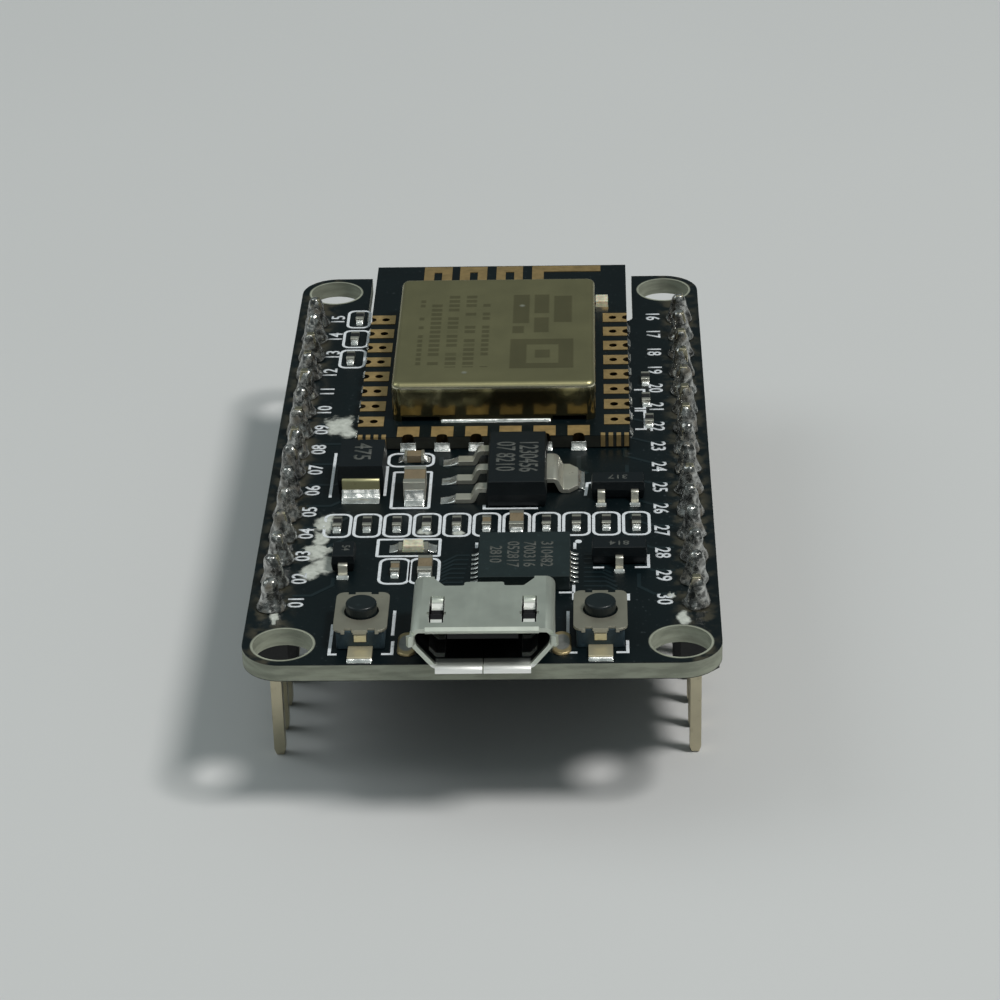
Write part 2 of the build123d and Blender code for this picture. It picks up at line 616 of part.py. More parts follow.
def tantalum():
    """The moulded capacitor: body and the two terminals folded under its ends."""
    height = TANTALUM_HEIGHT - 0.14
    body = moulded(TANTALUM_X, TANTALUM_Y, TANTALUM_WIDTH, TANTALUM_LENGTH, 0.14, height, 0.07)
    terminals, fillets = [], []
    for turn in (-90, 90):
        place = Pos(TANTALUM_X, TANTALUM_Y, 0) * Rot(0, 0, turn) * Pos(TANTALUM_LENGTH / 2, 0, 0)
        path = [(-0.15, 1.13), (0.07, 1.13), (0.07, 0.07), (-0.8, 0.07)]
        terminals.append(place * bent_strip(path, 0.14, 2.15, 0.1))
        fillets.append(place * Pos(0.14, 0, 0) * wedge(2.2, 0.75, 0.6))
    save("tantalum_body", body - terminals)
    save("tantalum_terminals", *terminals)
    return fillets


def small_leaded(width, length, height, leads, reach):
    """A small moulded package at the origin and its leads, each (X, turn); also their fillets."""
    body = moulded(0, 0, width, length, 0.06, height - 0.06, 0.07)
    strips, fillets = [], []
    path = [(-0.2, height * 0.52), (reach * 0.28, height * 0.52), (reach * 0.5, 0.07), (reach, 0.07)]
    for x, turn, lead_width in leads:
        place = Pos(x, 0, 0) * Rot(0, 0, turn) * Pos(length / 2, 0, 0)
        strips.append(place * bent_strip(path, 0.13, lead_width, 0.07))
        fillets.append(place * Pos(reach, 0, 0) * wedge(lead_width + 0.2, 0.4, 0.16))
    return body - strips, strips, fillets


def transistors_and_diode():
    """Two three-lead transistors and the input diode; returns their solder fillets."""
    leads_of_three = [(-0.95, -90, 0.42), (0.95, -90, 0.42), (0, 90, 0.42)]
    body, strips, fillets = small_leaded(3.05, 1.3, 1.1, leads_of_three, 0.58)
    bodies, leads, solder = [], [], []
    for x, y, turn in TRANSISTORS:
        place = Pos(x, y, 0) * Rot(0, 0, turn)
        bodies.append(place * body)
        leads += [place * strip for strip in strips]
        solder += [place * shape for shape in fillets]
    save("transistor_bodies", *bodies)
    save("transistor_leads", *leads)
    body, strips, fillets = small_leaded(1.3, 1.75, 1.0, [(0, -90, 0.5), (0, 90, 0.5)], 0.5)
    place = Pos(DIODE_X, DIODE_Y, 0)
    save("diode_body", place * body)
    save("diode_leads", *[place * strip for strip in strips])
    return solder + [place * shape for shape in fillets]


def build():
    """Write every node."""
    os.makedirs("parts", exist_ok=True)
    save("main_board", main_board())
    headers()
    radio_module()
    shield_can()
    under_the_can()
    module_led()
    solder = usb_socket()
    for name, (x, y) in SWITCHES.items():
        solder += push_switch(name, x, y)
    solder += chips()
    solder += power_led()
    solder += usb_serial_chip()
    solder += regulator()
    solder += tantalum()
    solder += transistors_and_diode()
    save("component_solder", *solder)


build()
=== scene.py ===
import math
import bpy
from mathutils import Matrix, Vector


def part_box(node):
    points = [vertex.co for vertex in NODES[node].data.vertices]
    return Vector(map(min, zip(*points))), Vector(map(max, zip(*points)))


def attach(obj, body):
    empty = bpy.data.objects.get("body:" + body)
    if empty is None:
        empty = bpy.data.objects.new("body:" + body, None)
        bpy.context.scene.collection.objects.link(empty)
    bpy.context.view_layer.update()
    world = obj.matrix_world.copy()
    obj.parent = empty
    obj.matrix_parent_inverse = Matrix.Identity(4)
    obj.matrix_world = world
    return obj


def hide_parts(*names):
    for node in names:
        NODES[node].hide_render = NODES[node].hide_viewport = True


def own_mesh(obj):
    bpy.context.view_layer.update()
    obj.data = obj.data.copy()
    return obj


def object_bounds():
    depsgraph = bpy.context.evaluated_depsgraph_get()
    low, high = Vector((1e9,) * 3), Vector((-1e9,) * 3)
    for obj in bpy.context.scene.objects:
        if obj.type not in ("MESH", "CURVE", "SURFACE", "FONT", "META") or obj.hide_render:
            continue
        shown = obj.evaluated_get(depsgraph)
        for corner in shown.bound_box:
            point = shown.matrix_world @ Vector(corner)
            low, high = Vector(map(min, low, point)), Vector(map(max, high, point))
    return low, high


bl_info = {
    "name": "Microcontroller Board Dresser",
    "version": (1, 0, 0),
    "blender": (4, 5, 0),
    "location": "3D View > Sidebar > Board",
    "description": "Dresses the framed board: printed marks, solder, finishes, floor, lights and camera",
    "category": "Object",
}

import bmesh
import bpy
from bpy.props import FloatProperty, FloatVectorProperty, IntProperty, PointerProperty
from mathutils import Matrix, Vector, noise

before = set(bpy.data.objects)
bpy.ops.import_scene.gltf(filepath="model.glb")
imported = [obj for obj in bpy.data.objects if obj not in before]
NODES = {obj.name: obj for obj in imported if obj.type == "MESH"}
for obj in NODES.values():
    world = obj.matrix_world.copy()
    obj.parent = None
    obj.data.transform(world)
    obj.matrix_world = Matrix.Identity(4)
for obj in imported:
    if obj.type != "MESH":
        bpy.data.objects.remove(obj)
CAD_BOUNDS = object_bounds()
MM = 0.001

BOARD_LOW, BOARD_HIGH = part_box("main_board")
BOARD_TOP = BOARD_HIGH.z
BOARD_MIDDLE = (BOARD_LOW + BOARD_HIGH) / 2
MODULE_LOW, MODULE_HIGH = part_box("module_board")
CAN_LOW, CAN_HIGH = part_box("module_shield")
CAN_MIDDLE = (CAN_LOW + CAN_HIGH) / 2
PIN_LOW, PIN_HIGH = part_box("header_pins_left")
PIN_COUNT = 15
PIN_SIDE = 0.64 * MM
PIN_PITCH = (PIN_HIGH.y - PIN_LOW.y - PIN_SIDE) / (PIN_COUNT - 1)

# Distances from the board's middle line or middle, in millimetres
HOLE_X, HOLE_Y = 10.53, 22.0
HOLE_RADIUS = 1.6
ROW_X = 11.43
WINDOW_X = 2.42


def on_board(x, y, z=0.0):
    """A place given in millimetres from the middle of the board's top face."""
    return Vector((BOARD_MIDDLE.x + x * MM, BOARD_MIDDLE.y + y * MM, BOARD_TOP + z * MM))


def pin_y(index):
    """Where a header pin stands along Y, counted from the USB end."""
    return PIN_LOW.y + PIN_SIDE / 2 + PIN_PITCH * index


# ---------------------------------------------------------------- settings

def size(name, description, default):
    """A setting measured in metres."""
    return FloatProperty(name=name, description=description, default=default, unit="LENGTH", precision=6)


def level(name, description, default):
    """A setting that is a plain number."""
    return FloatProperty(name=name, description=description, default=default)


def colour(name, description, default):
    """A setting that is a linear colour."""
    return FloatVectorProperty(
        name=name, description=description, default=default, subtype="COLOR", size=3, min=0.0, max=1.0)


class BoardPrint(bpy.types.PropertyGroup):
    line_width: size("Line width", "Width of the printed outlines", 0.17 * MM)
    ink_height: size("Ink height", "Thickness of the printed ink", 0.02 * MM)
    number_height: size("Number height", "Height of the pin numbers", 0.86 * MM)
    ink: colour("Ink", "Colour of the printed ink", (0.74, 0.77, 0.80))
    first_number: IntProperty(name="First number", description="Number printed at the first pin", default=1)


class BoardFinishes(bpy.types.PropertyGroup):
    mask: colour("Mask", "Solder mask of both boards", (0.0018, 0.0050, 0.0062))
    epoxy: colour("Epoxy", "Bare glass epoxy at the cut edges", (0.30, 0.315, 0.25))
    gold: colour("Gold", "Gold plating of the pads and the antenna", (0.72, 0.50, 0.22))
    shield: colour("Shield", "Nickel silver of the shield can", (0.415, 0.38, 0.205))
    socket: colour("Socket", "Nickel plating of the USB shell", (0.66, 0.70, 0.62))
    tin: colour("Tin", "Tin plating of the leads and terminals", (0.74, 0.72, 0.62))
    solder: colour("Solder", "Fresh solder", (0.80, 0.80, 0.77))
    cover: colour("Cover", "Metal cover of the switches", (0.43, 0.41, 0.33))
    chip: colour("Chip", "Moulded chip plastic", (0.0040, 0.0068, 0.0085))


class BoardStage(bpy.types.PropertyGroup):
    floor: colour("Floor", "Pale floor", (0.650, 0.652, 0.650))
    lens: level("Lens", "Focal length on a 36 mm wide sensor", 119.5)
    key: level("Key light", "Power of the main light in watts", 3.6)
    window: level("Window", "Power of the broad light on the left, in watts", 1.1)
    front: level("Front lights", "Power of each of the two small front lights, in watts", 0.14)
    overhead: level("Overhead", "Brightness of the ceiling", 0.18)
    surround: level("Surround", "Brightness of the room at eye level", 0.066)


# ---------------------------------------------------------------- shader expressions

class Value:
    """A node's output that can stand in arithmetic."""

    def __init__(self, shade, socket):
        self.shade = shade
        self.socket = socket

    def __add__(self, other):
        return self.shade.math("ADD", self, other)

    def __sub__(self, other):
        return self.shade.math("SUBTRACT", self, other)

    def __rsub__(self, other):
        return self.shade.math("SUBTRACT", other, self)

    def __mul__(self, other):
        return self.shade.math("MULTIPLY", self, other)

    __radd__ = __add__
    __rmul__ = __mul__

    def __abs__(self):
        return self.shade.math("ABSOLUTE", self)


class Wiring:
    """A node tree that expressions add their nodes to."""

    def __init__(self, tree):
        self.tree = tree

    def node(self, kind, settings=None, values=None, out=0):
        """Any node: its settings first, then the values or links of its sockets."""
        made = self.tree.nodes.new(kind)
        for key, value in (settings or {}).items():
            setattr(made, key, value)
        for key, value in (values or {}).items():
            if isinstance(value, Value):
                self.tree.links.new(value.socket, made.inputs[key])
            else:
                made.inputs[key].default_value = value
        return Value(self, made.outputs[out])

    def math(self, operation, *terms):
        return self.node("ShaderNodeMath", {"operation": operation}, dict(enumerate(terms)))

    def step(self, value, low, high):
        """0 below low, 1 above high, smooth between."""
        return self.node("ShaderNodeMapRange", {"interpolation_type": "SMOOTHSTEP"},
                         {"Value": value, "From Min": low, "From Max": high})

    def mix(self, first, second, amount):
        """A colour between two others."""
        values = {"Factor": amount}
        for index, tone in ((6, first), (7, second)):
            values[index] = tone if isinstance(tone, Value) else (*tone, 1.0)
        return self.node("ShaderNodeMix", {"data_type": "RGBA"}, values, 2)


class Shade(Wiring):
    """A material under construction, on object coordinates in millimetres."""

    def __init__(self, name):
        self.material = bpy.data.materials.new(name)
        self.material.use_nodes = True
        super().__init__(self.material.node_tree)
        self.tree.nodes.clear()
        self.surface = self.tree.nodes.new("ShaderNodeBsdfPrincipled")
        output = self.tree.nodes.new("ShaderNodeOutputMaterial")
        self.tree.links.new(self.surface.outputs[0], output.inputs["Surface"])
        coords = self.node("ShaderNodeTexCoord", out="Object")
        self.place = self.node(
            "ShaderNodeVectorMath", {"operation": "SCALE"}, {"Vector": coords, "Scale": 1 / MM})
        self.x, self.y, self.z = (self.node("ShaderNodeSeparateXYZ", {}, {"Vector": self.place}, axis)
                                  for axis in "XYZ")

    def noise(self, grain, detail=2.0, stretch=(1, 1, 1)):
        """Noise between 0 and 1 whose grain is about that many millimetres."""
        place = self.node("ShaderNodeVectorMath", {"operation": "MULTIPLY"}, {0: self.place, 1: stretch})
        return self.node("ShaderNodeTexNoise", {}, {"Vector": place, "Scale": 1 / grain, "Detail": detail})

    def distance(self, x, y):
        """Distance in millimetres from an upright line through two coordinates or their wires."""
        return self.math("SQRT", x * x + y * y)

    def inside(self, x0, x1, y0, y1, soft=0.06):
        """1 inside a rectangle of the plan, fading over a soft edge."""
        across = self.step(self.x, x0 - soft, x0 + soft) * self.step(self.x * -1, -x1 - soft, -x1 + soft)
        along = self.step(self.y, y0 - soft, y0 + soft) * self.step(self.y * -1, -y1 - soft, -y1 + soft)
        return across * along

    def bump(self, height, depth, strength=1.0):
        """A bump whose height of 1 stands depth millimetres proud."""
        return self.node(
            "ShaderNodeBump", {}, {"Height": height, "Distance": depth * MM, "Strength": strength})

    def finish(self, **sockets):
        """Sets or links the surface's own sockets and returns the material."""
        for key, value in sockets.items():
            socket = self.surface.inputs[key.replace("_", " ")]
            if isinstance(value, Value):
                self.tree.links.new(value.socket, socket)
            elif hasattr(value, "__len__"):
                socket.default_value = (*value, 1.0)
            else:
                socket.default_value = value
        return self.material


def shaded(tone, factor):
    """A colour made lighter or darker."""
    return tuple(min(1.0, channel * factor) for channel in tone)


# ---------------------------------------------------------------- materials

def mask_material(name, low, high, finishes, edge, holes=False):
    """Glossy dark solder mask over the faces, and layered glass epoxy wherever the board is cut."""
    shade = Shade(name)
    bottom, top = low.z / MM, high.z / MM
    cut = shade.step(shade.z, bottom + 0.02, bottom + 0.05)
    cut = cut * (1 - shade.step(shade.z, top - 0.05, top - 0.02))
    if holes:
        to_hole = shade.distance(abs(shade.x) - HOLE_X, abs(shade.y - BOARD_MIDDLE.y / MM) - HOLE_Y)
        rim = 1 - shade.step(to_hole, HOLE_RADIUS + 0.08, HOLE_RADIUS + 0.16)
        cut = shade.math("MAXIMUM", cut, rim)
    layers = shade.noise(1.6, 3, (1, 1, 5))
    fibres = shade.noise(0.12, 2, (1, 1, 3))
    epoxy = shade.mix(shaded(edge, 0.8), shaded(edge, 1.15), shade.step(layers, 0.3, 0.7))
    epoxy = shade.mix(epoxy, shaded(edge, 1.45), shade.step(fibres, 0.56, 0.72) * 0.15)
    cloud = shade.noise(3.5, 3)
    dust = shade.step(shade.noise(0.22, 2), 0.66, 0.74)
    near_pins = shade.step(abs(abs(shade.x) - ROW_X) * -1, -1.5, -0.5)
    flux = near_pins * shade.step(shade.noise(0.9, 4), 0.42, 0.62)
    mask = shade.mix(shaded(finishes.mask, 0.7), shaded(finishes.mask, 1.7), cloud)
    mask = shade.mix(mask, (0.045, 0.055, 0.06), dust * 0.55)
    mask = shade.mix(mask, (0.085, 0.075, 0.05), flux * (0.6 if holes else 0.0))
    weave = shade.noise(0.35, 1) * 0.6 + shade.noise(1.6, 2)
    rough = shade.noise(0.8, 3) * 0.2 + 0.27 + cut * 0.35
    return shade.finish(
        Base_Color=shade.mix(mask, epoxy, cut), Roughness=rough,
        Normal=shade.bump(weave + layers * cut, 0.02, 0.4), IOR=1.5, Specular_IOR_Level=0.27)


def plastic_material(name, tone, roughness, grain=0.12, depth=0.012, dirt=0.35):
    """Moulded plastic with a fine grain, a little dust and uneven sheen."""
    shade = Shade(name)
    cloud = shade.noise(1.1, 3)
    fine = shade.noise(grain, 2)
    dust = shade.step(shade.noise(0.3, 4), 0.58, 0.75) * dirt
    base = shade.mix(shaded(tone, 0.75), shaded(tone, 1.3), cloud)
    base = shade.mix(base, shaded(tone, 3.0), dust)
    rough = cloud * 0.12 + dust * 0.15 + (roughness - 0.06)
    return shade.finish(Base_Color=base, Roughness=rough, Normal=shade.bump(fine, depth, 0.8), IOR=1.48,
                        Specular_IOR_Level=0.36)


def metal_material(name, tone, roughness, streak=(1, 1, 1), stained=0.25, bright=1.0):
    """Plated sheet metal: faint rolling streaks, dull patches and a few brown stains."""
    shade = Shade(name)
    lines = shade.noise(0.25, 3, streak)
    patch = shade.noise(1.4, 3)
    spots = shade.step(shade.noise(0.5, 4), 0.58, 0.78) * stained
    base = shade.mix(shaded(tone, 0.82), shaded(tone, 1.15), patch)
    base = shade.mix(base, (0.20, 0.15, 0.09), spots)
    rough = patch * 0.1 + lines * 0.08 + spots * 0.2 + (roughness - 0.07)
    return shade.finish(
        Base_Color=base, Metallic=bright - spots * 0.4, Roughness=rough,
        Normal=shade.bump(lines + patch, 0.006, 0.6))


def solder_material(name, tone, roughness, dull, wrinkle=0.05):
    """Solder with a wrinkled skin and brown flux left in its hollows."""
    shade = Shade(name)
    skin = shade.noise(0.35, 4)
    flux = shade.step(shade.noise(0.7, 3), 0.5, 0.72) * dull
    dark, light = shaded(tone, 1 - 0.7 * dull), shaded(tone, 1.2 + 0.5 * dull)
    base = shade.mix(dark, light, shade.step(skin, 0.35, 0.65))
    base = shade.mix(base, (0.13, 0.105, 0.07), flux)
    rough = roughness + skin * 0.15 + flux * 0.1
    return shade.finish(
        Base_Color=base, Metallic=0.9 - flux * 0.6, Roughness=rough, Normal=shade.bump(skin, wrinkle, 0.8))


# The can's etched marks: the columns and rows of small blocks, and the plain bars beside them, each
# from X to X and from Y to Y, in millimetres from the middle of the can
ETCH_COLUMN, ETCH_ROW = 1.05, 0.62
ETCHED_BARS = (
    (1.0, 2.0, 0.8, 4.9), (2.3, 3.2, 2.2, 4.9), (3.5, 4.6, 0.9, 4.7), (1.0, 1.7, -0.6, 0.4),
    (2.3, 3.2, -0.5, 1.6), (0.9, 4.7, -2.2, -1.4), (0.9, 1.9, -4.9, -1.8), (0.9, 4.7, -5.4, -4.7),
    (3.8, 4.7, -4.9, -1.8), (2.4, 3.3, -4.0, -2.9),
)


def shield_material(finishes):
    """The can: satin nickel silver with faintly etched plain panels and two pressed dimples, a painted dark
    reflection over its walls and a painted highlight along its rim.
    """
    shade = Shade("shield_nickel_silver")
    mid_x, mid_y, top = CAN_MIDDLE.x / MM, CAN_MIDDLE.y / MM, CAN_HIGH.z / MM
    lines = shade.noise(0.3, 3, (1, 0.12, 1))
    patch = shade.noise(2.4, 3)
    fine = shade.noise(0.09, 2)
    across, along = shade.x - mid_x, shade.y - mid_y
    column, row = across * (1 / ETCH_COLUMN), along * (1 / ETCH_ROW)
    cell = shade.node(
        "ShaderNodeCombineXYZ", {}, {"X": shade.math("FLOOR", column), "Y": shade.math("FLOOR", row)})
    chance = shade.node("ShaderNodeTexWhiteNoise", {"noise_dimensions": "2D"}, {"Vector": cell})
    in_x, in_y = shade.math("FRACT", column), shade.math("FRACT", row)
    blocks = shade.step(in_x, 0.14, 0.24) * shade.step(in_x * -1, -0.86, -0.76)
    blocks = blocks * shade.step(in_y, 0.1, 0.22) * shade.step(in_y * -1, -0.9, -0.78)
    blocks = blocks * shade.step(chance, 0.3, 0.34)
    blocks = blocks * shade.inside(mid_x - 4.7, mid_x - 0.4, mid_y - 5.2, mid_y + 4.9)
    etched = blocks
    for x0, x1, y0, y1 in ETCHED_BARS:
        bar = shade.inside(mid_x + x0, mid_x + x1, mid_y + y0, mid_y + y1)
        etched = shade.math("MAXIMUM", etched, bar)
    on_top = shade.step(shade.z, top - 0.3, top - 0.12)
    etched = etched * on_top
    dimples = 0.0
    for x, y in ((-1.75, -5.9), (1.55, 3.3)):
        near = shade.distance(across - x, along - y)
        dimples = (1 - shade.step(near, 0.05, 0.24)) + dimples
    base = shade.mix(shaded(finishes.shield, 0.86), shaded(finishes.shield, 1.14), patch)
    base = shade.mix(base, shaded(finishes.shield, 0.4), etched * 0.72)
    # Painted reflection: the walls below the rim are painted dark, as if mirroring the dark parts in front,
    # a little lighter in broad patches
    painted_wall_reflection = 1 - shade.step(shade.z, top - 0.62, top - 0.42)
    lighter_reflection_patch = shade.step(shade.noise(2.0, 3), 0.5, 0.7)
    base = shade.mix(base, shaded(finishes.shield, 0.22), painted_wall_reflection * 0.9 - lighter_reflection_patch * painted_wall_reflection * 0.25)
    # Painted highlight: a pale band round the rounded rim just under the top face
    rim = shade.step(shade.z, top - 0.42, top - 0.3) * (1 - on_top)
    base = shade.mix(base, (0.80, 0.76, 0.6), rim * 0.8)
    base = shade.mix(base, (0.70, 0.70, 0.60), dimples * on_top * 0.7)
    rough = on_top * 0.24 + patch * 0.06 + lines * 0.06 + etched * 0.08 + 0.08
    height = lines * 0.4 + fine * on_top * 0.4 + patch - dimples * 1.5 - etched * 0.5
    return shade.finish(
        Base_Color=base, Metallic=0.9, Roughness=rough, Normal=shade.bump(height, 0.02, 0.45))


def socket_material(tone):
    """The USB shell: satin nickel outside, with painted shade inside its mouth, a painted highlight and
    painted shadow over its spring fingers and a painted highlight on its lower lip.
    """
    low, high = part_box("usb_shell")
    shade = Shade("socket_nickel")
    middle = (low.x + high.x) / 2 / MM
    lines = shade.noise(0.25, 3, (1, 0.15, 1))
    patch = shade.noise(1.4, 3)
    front, floor = low.y / MM, BOARD_TOP / MM
    inner_top = floor + 2.35
    # Painted shade: the inside of the mouth is painted near black
    painted_mouth_shade = shade.step(abs(shade.x - middle) * -1, -3.62, -3.5)
    painted_mouth_shade = painted_mouth_shade * shade.step(shade.y, front + 0.5, front + 0.75)
    painted_mouth_shade = painted_mouth_shade * shade.step(shade.z * -1, -inner_top, 0.1 - inner_top)
    spots = shade.step(shade.noise(0.6, 4), 0.6, 0.78) * 0.25
    base = shade.mix(shaded(tone, 0.86), shaded(tone, 1.12), patch)
    base = shade.mix(base, (0.30, 0.27, 0.2), spots)
    base = shade.mix(base, (0.012, 0.013, 0.015), painted_mouth_shade)
    # Painted highlight and shadow on the spring fingers in the top windows: the window's ends painted near
    # white, and a near black band where the finger dips inside, which is also made rough and not metallic
    aside = abs(abs(shade.x - middle) - WINDOW_X)
    along = shade.y - BOARD_MIDDLE.y / MM
    within = 1 - shade.step(aside, 0.38, 0.42)
    painted_finger_shadow = within * shade.step(along, -23.6, -23.5) * (1 - shade.step(along, -22.2, -22.1))
    painted_finger_highlight = within * shade.step(along, -24.0, -23.9) * (1 - shade.step(along, -21.8, -21.7))
    painted_finger_highlight = painted_finger_highlight * (1 - painted_finger_shadow)
    base = shade.mix(base, (0.95, 0.95, 0.9), painted_finger_highlight)
    base = shade.mix(base, (0.004, 0.004, 0.005), painted_finger_shadow)
    # Painted highlight: the lower lip at the mouth is painted near white and made less metallic
    painted_lip_highlight = 1 - shade.step(shade.y, front + 0.9, front + 1.1)
    painted_lip_highlight = painted_lip_highlight * (1 - shade.step(shade.z, floor + 0.25, floor + 0.4))
    base = shade.mix(base, (0.96, 0.96, 0.93), painted_lip_highlight)
    rough = lines * 0.08 + patch * 0.08 + spots * 0.15 + painted_finger_shadow * 0.6 + 0.36
    metal = 0.8 - spots * 0.3 - painted_finger_shadow * 0.8 - painted_lip_highlight * 0.45
    return shade.finish(Base_Color=base, Metallic=metal, Roughness=rough,
                        Normal=shade.bump(lines + patch, 0.006, 0.6))


def gold_material(name, tone, top=None):
    """Dull gold plating, browned in patches; with a top height given, the drills under it get painted shade.
    """
    shade = Shade(name)
    patch = shade.noise(0.5, 3)
    base = shade.mix(shaded(tone, 0.55), shaded(tone, 1.2), patch)
    if top is not None:
        # Painted shade: the plated walls of the drills below the pad's top are painted near black brown
        base = shade.mix((0.03, 0.019, 0.006), base, shade.step(shade.z, top - 0.035, top - 0.015))
    return shade.finish(
        Base_Color=base, Metallic=0.7, Roughness=shade.noise(0.25, 2) * 0.2 + 0.3,
        Normal=shade.bump(shade.noise(0.15, 2), 0.012, 0.6))


def anchor_material(finishes):
    """Solder over the socket's legs: dull in the middle, with the gold of the pad showing round its rim."""
    shade = Shade("anchor_solder")
    low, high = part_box("usb_anchor_solder")
    middle = (low + high) / 2 / MM
    out_x = abs(shade.x - middle.x) - (high.x - low.x) / 2 / MM + 0.5
    rim = shade.step(shade.distance(out_x * 1.9, shade.y - middle.y), 0.68, 0.92)
    skin = shade.noise(0.3, 4)
    base = shade.mix(shaded(finishes.solder, 0.3), shaded(finishes.solder, 0.5), skin)
    base = shade.mix(base, (0.55, 0.42, 0.2), rim * 0.85)
    return shade.finish(
        Base_Color=base, Metallic=0.7, Roughness=skin * 0.2 + 0.3, Normal=shade.bump(skin, 0.04, 0.7))


def ink_material(tone):
    """White printed ink, thin and slightly worn at its edges."""
    shade = Shade("printed_ink")
    worn = shade.step(shade.noise(0.16, 3), 0.52, 0.72)
    base = shade.mix(tone, shaded(tone, 0.5), worn * 0.6)
    return shade.finish(Base_Color=base, Roughness=0.62, Normal=shade.bump(worn, 0.008, 0.5))


def ceramic_material(name, tone):
    """Fired ceramic with fine dark specks."""
    shade = Shade(name)
    specks = shade.step(shade.noise(0.08, 3), 0.55, 0.7)
    base = shade.mix(shaded(tone, 0.75), shaded(tone, 1.25), shade.noise(0.6, 3))
    base = shade.mix(base, shaded(tone, 0.45), specks * 0.5)
    return shade.finish(Base_Color=base, Roughness=shade.noise(0.3, 2) * 0.2 + 0.34,
                        Normal=shade.bump(specks, 0.006, 0.5))


def lamp_material(name, tone):
    """Milky lamp moulding with a warm core."""
    shade = Shade(name)
    base = shade.mix(tone, shaded(tone, 0.72), shade.step(shade.noise(0.35, 2), 0.4, 0.7))
    return shade.finish(Base_Color=base, Roughness=0.3, Subsurface_Weight=0.25, Subsurface_Scale=0.0004,
                        Coat_Weight=0.4, Normal=shade.bump(shade.noise(0.2, 1), 0.008, 0.4))


def residue_material():
    """Dried flux: chalky, cracked, off-white, and thinning out towards its rim."""
    shade = Shade("dried_flux")
    crust = shade.noise(0.3, 5)
    cover = shade.node("ShaderNodeAttribute", {"attribute_name": "cover"}, out="Fac")
    base = shade.mix((0.30, 0.32, 0.28), (0.72, 0.74, 0.68), crust)
    alpha = shade.step(cover * 0.9 + shade.noise(0.55, 5) * 0.8, 0.52, 0.9)
    return shade.finish(Base_Color=base, Roughness=0.75, Alpha=alpha, Normal=shade.bump(crust, 0.06, 0.9))


def floor_material(tone):
    """The pale matt floor."""
    shade = Shade("pale_floor")
    cloud = shade.noise(60, 2)
    base = shade.mix(shaded(tone, 0.97), shaded(tone, 1.03), cloud)
    return shade.finish(Base_Color=base, Roughness=0.75, Normal=shade.bump(shade.noise(0.6, 2), 0.02, 0.15))


# ---------------------------------------------------------------- building helpers

def dress(nodes, material):
    """Gives CAD nodes a finish in place of their plain one."""
    for node in nodes:
        slots = NODES[node].data.materials
        slots.clear()
        slots.append(material)


def soften(nodes, width, angle=32):
    """Rounds the hard edges of CAD nodes a little, as moulding and stamping leave them."""
    for node in nodes:
        part = NODES[node]
        weld = part.modifiers.new("weld", "WELD")
        weld.merge_threshold = 0.001 * MM
        flat = part.modifiers.new("flat", "DECIMATE")
        flat.decimate_type = "DISSOLVE"
        flat.angle_limit = math.radians(1.5)
        edge = part.modifiers.new("edge", "BEVEL")
        edge.width = width
        edge.segments = 2
        edge.limit_method = "ANGLE"
        edge.angle_limit = math.radians(angle)
        edge.harden_normals = True


def melt(nodes, voxel, lump=0.0, grain=0.6, smooth=6):
    """Turns CAD solder into one flowing skin: remeshed, pushed about a little and smoothed."""
    for node in nodes:
        part = NODES[node]
        weld = part.modifiers.new("weld", "WELD")
        weld.merge_threshold = 0.001 * MM
        skin = part.modifiers.new("skin", "REMESH")
        skin.mode = "VOXEL"
        skin.voxel_size = voxel
        skin.use_smooth_shade = True
        if lump:
            texture = bpy.data.textures.new(f"{node}_lumps", "CLOUDS")
            texture.noise_scale = grain * MM
            push = part.modifiers.new("lumps", "DISPLACE")
            push.texture = texture
            push.texture_coords = "LOCAL"
            push.strength = lump
            push.mid_level = 0.5
        calm = part.modifiers.new("calm", "SMOOTH")
        calm.iterations = smooth
        calm.factor = 0.5


def piece(name, mesh, material, body="board"):
    """Links a finished mesh as a piece that rides on a body."""
    made = bpy.data.objects.new(name, mesh)
    bpy.context.scene.collection.objects.link(made)
    made.data.materials.clear()
    made.data.materials.append(material)
    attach(made, body)
    return made


def ribbon(mesh, points, width, closed=False):
    """Adds a flat line of ink or copper through points on the board, with mitred corners."""
    count = len(points)
    left, right = [], []
    for i, point in enumerate(points):
        before = points[i - 1] if closed or i else point
        after = points[(i + 1) % count] if closed or i + 1 < count else point
        first = (Vector(point) - Vector(before)).normalized() if before != point else None
        second = (Vector(after) - Vector(point)).normalized() if after != point else None
        along = ((first or second) + (second or first)).normalized()
        side = Vector((-along.y, along.x))
        reach = width / 2 / max(0.4, side.dot(Vector((-(second or first).y, (second or first).x))))
        left.append(mesh.verts.new(on_board(*(Vector(point) + side * reach))))
        right.append(mesh.verts.new(on_board(*(Vector(point) - side * reach))))
    for i in range(count if closed else count - 1):
        j = (i + 1) % count
        mesh.faces.new((right[i], right[j], left[j], left[i]))


SOLDER_SEED = 7
# Radius and height of a solder cone's rings, from its foot to its tip, in millimetres
CONE_PROFILE = (
    (0.70, -0.04), (0.92, 0.02), (0.76, 0.28), (0.61, 0.66), (0.53, 1.08), (0.47, 1.44), (0.28, 1.84))


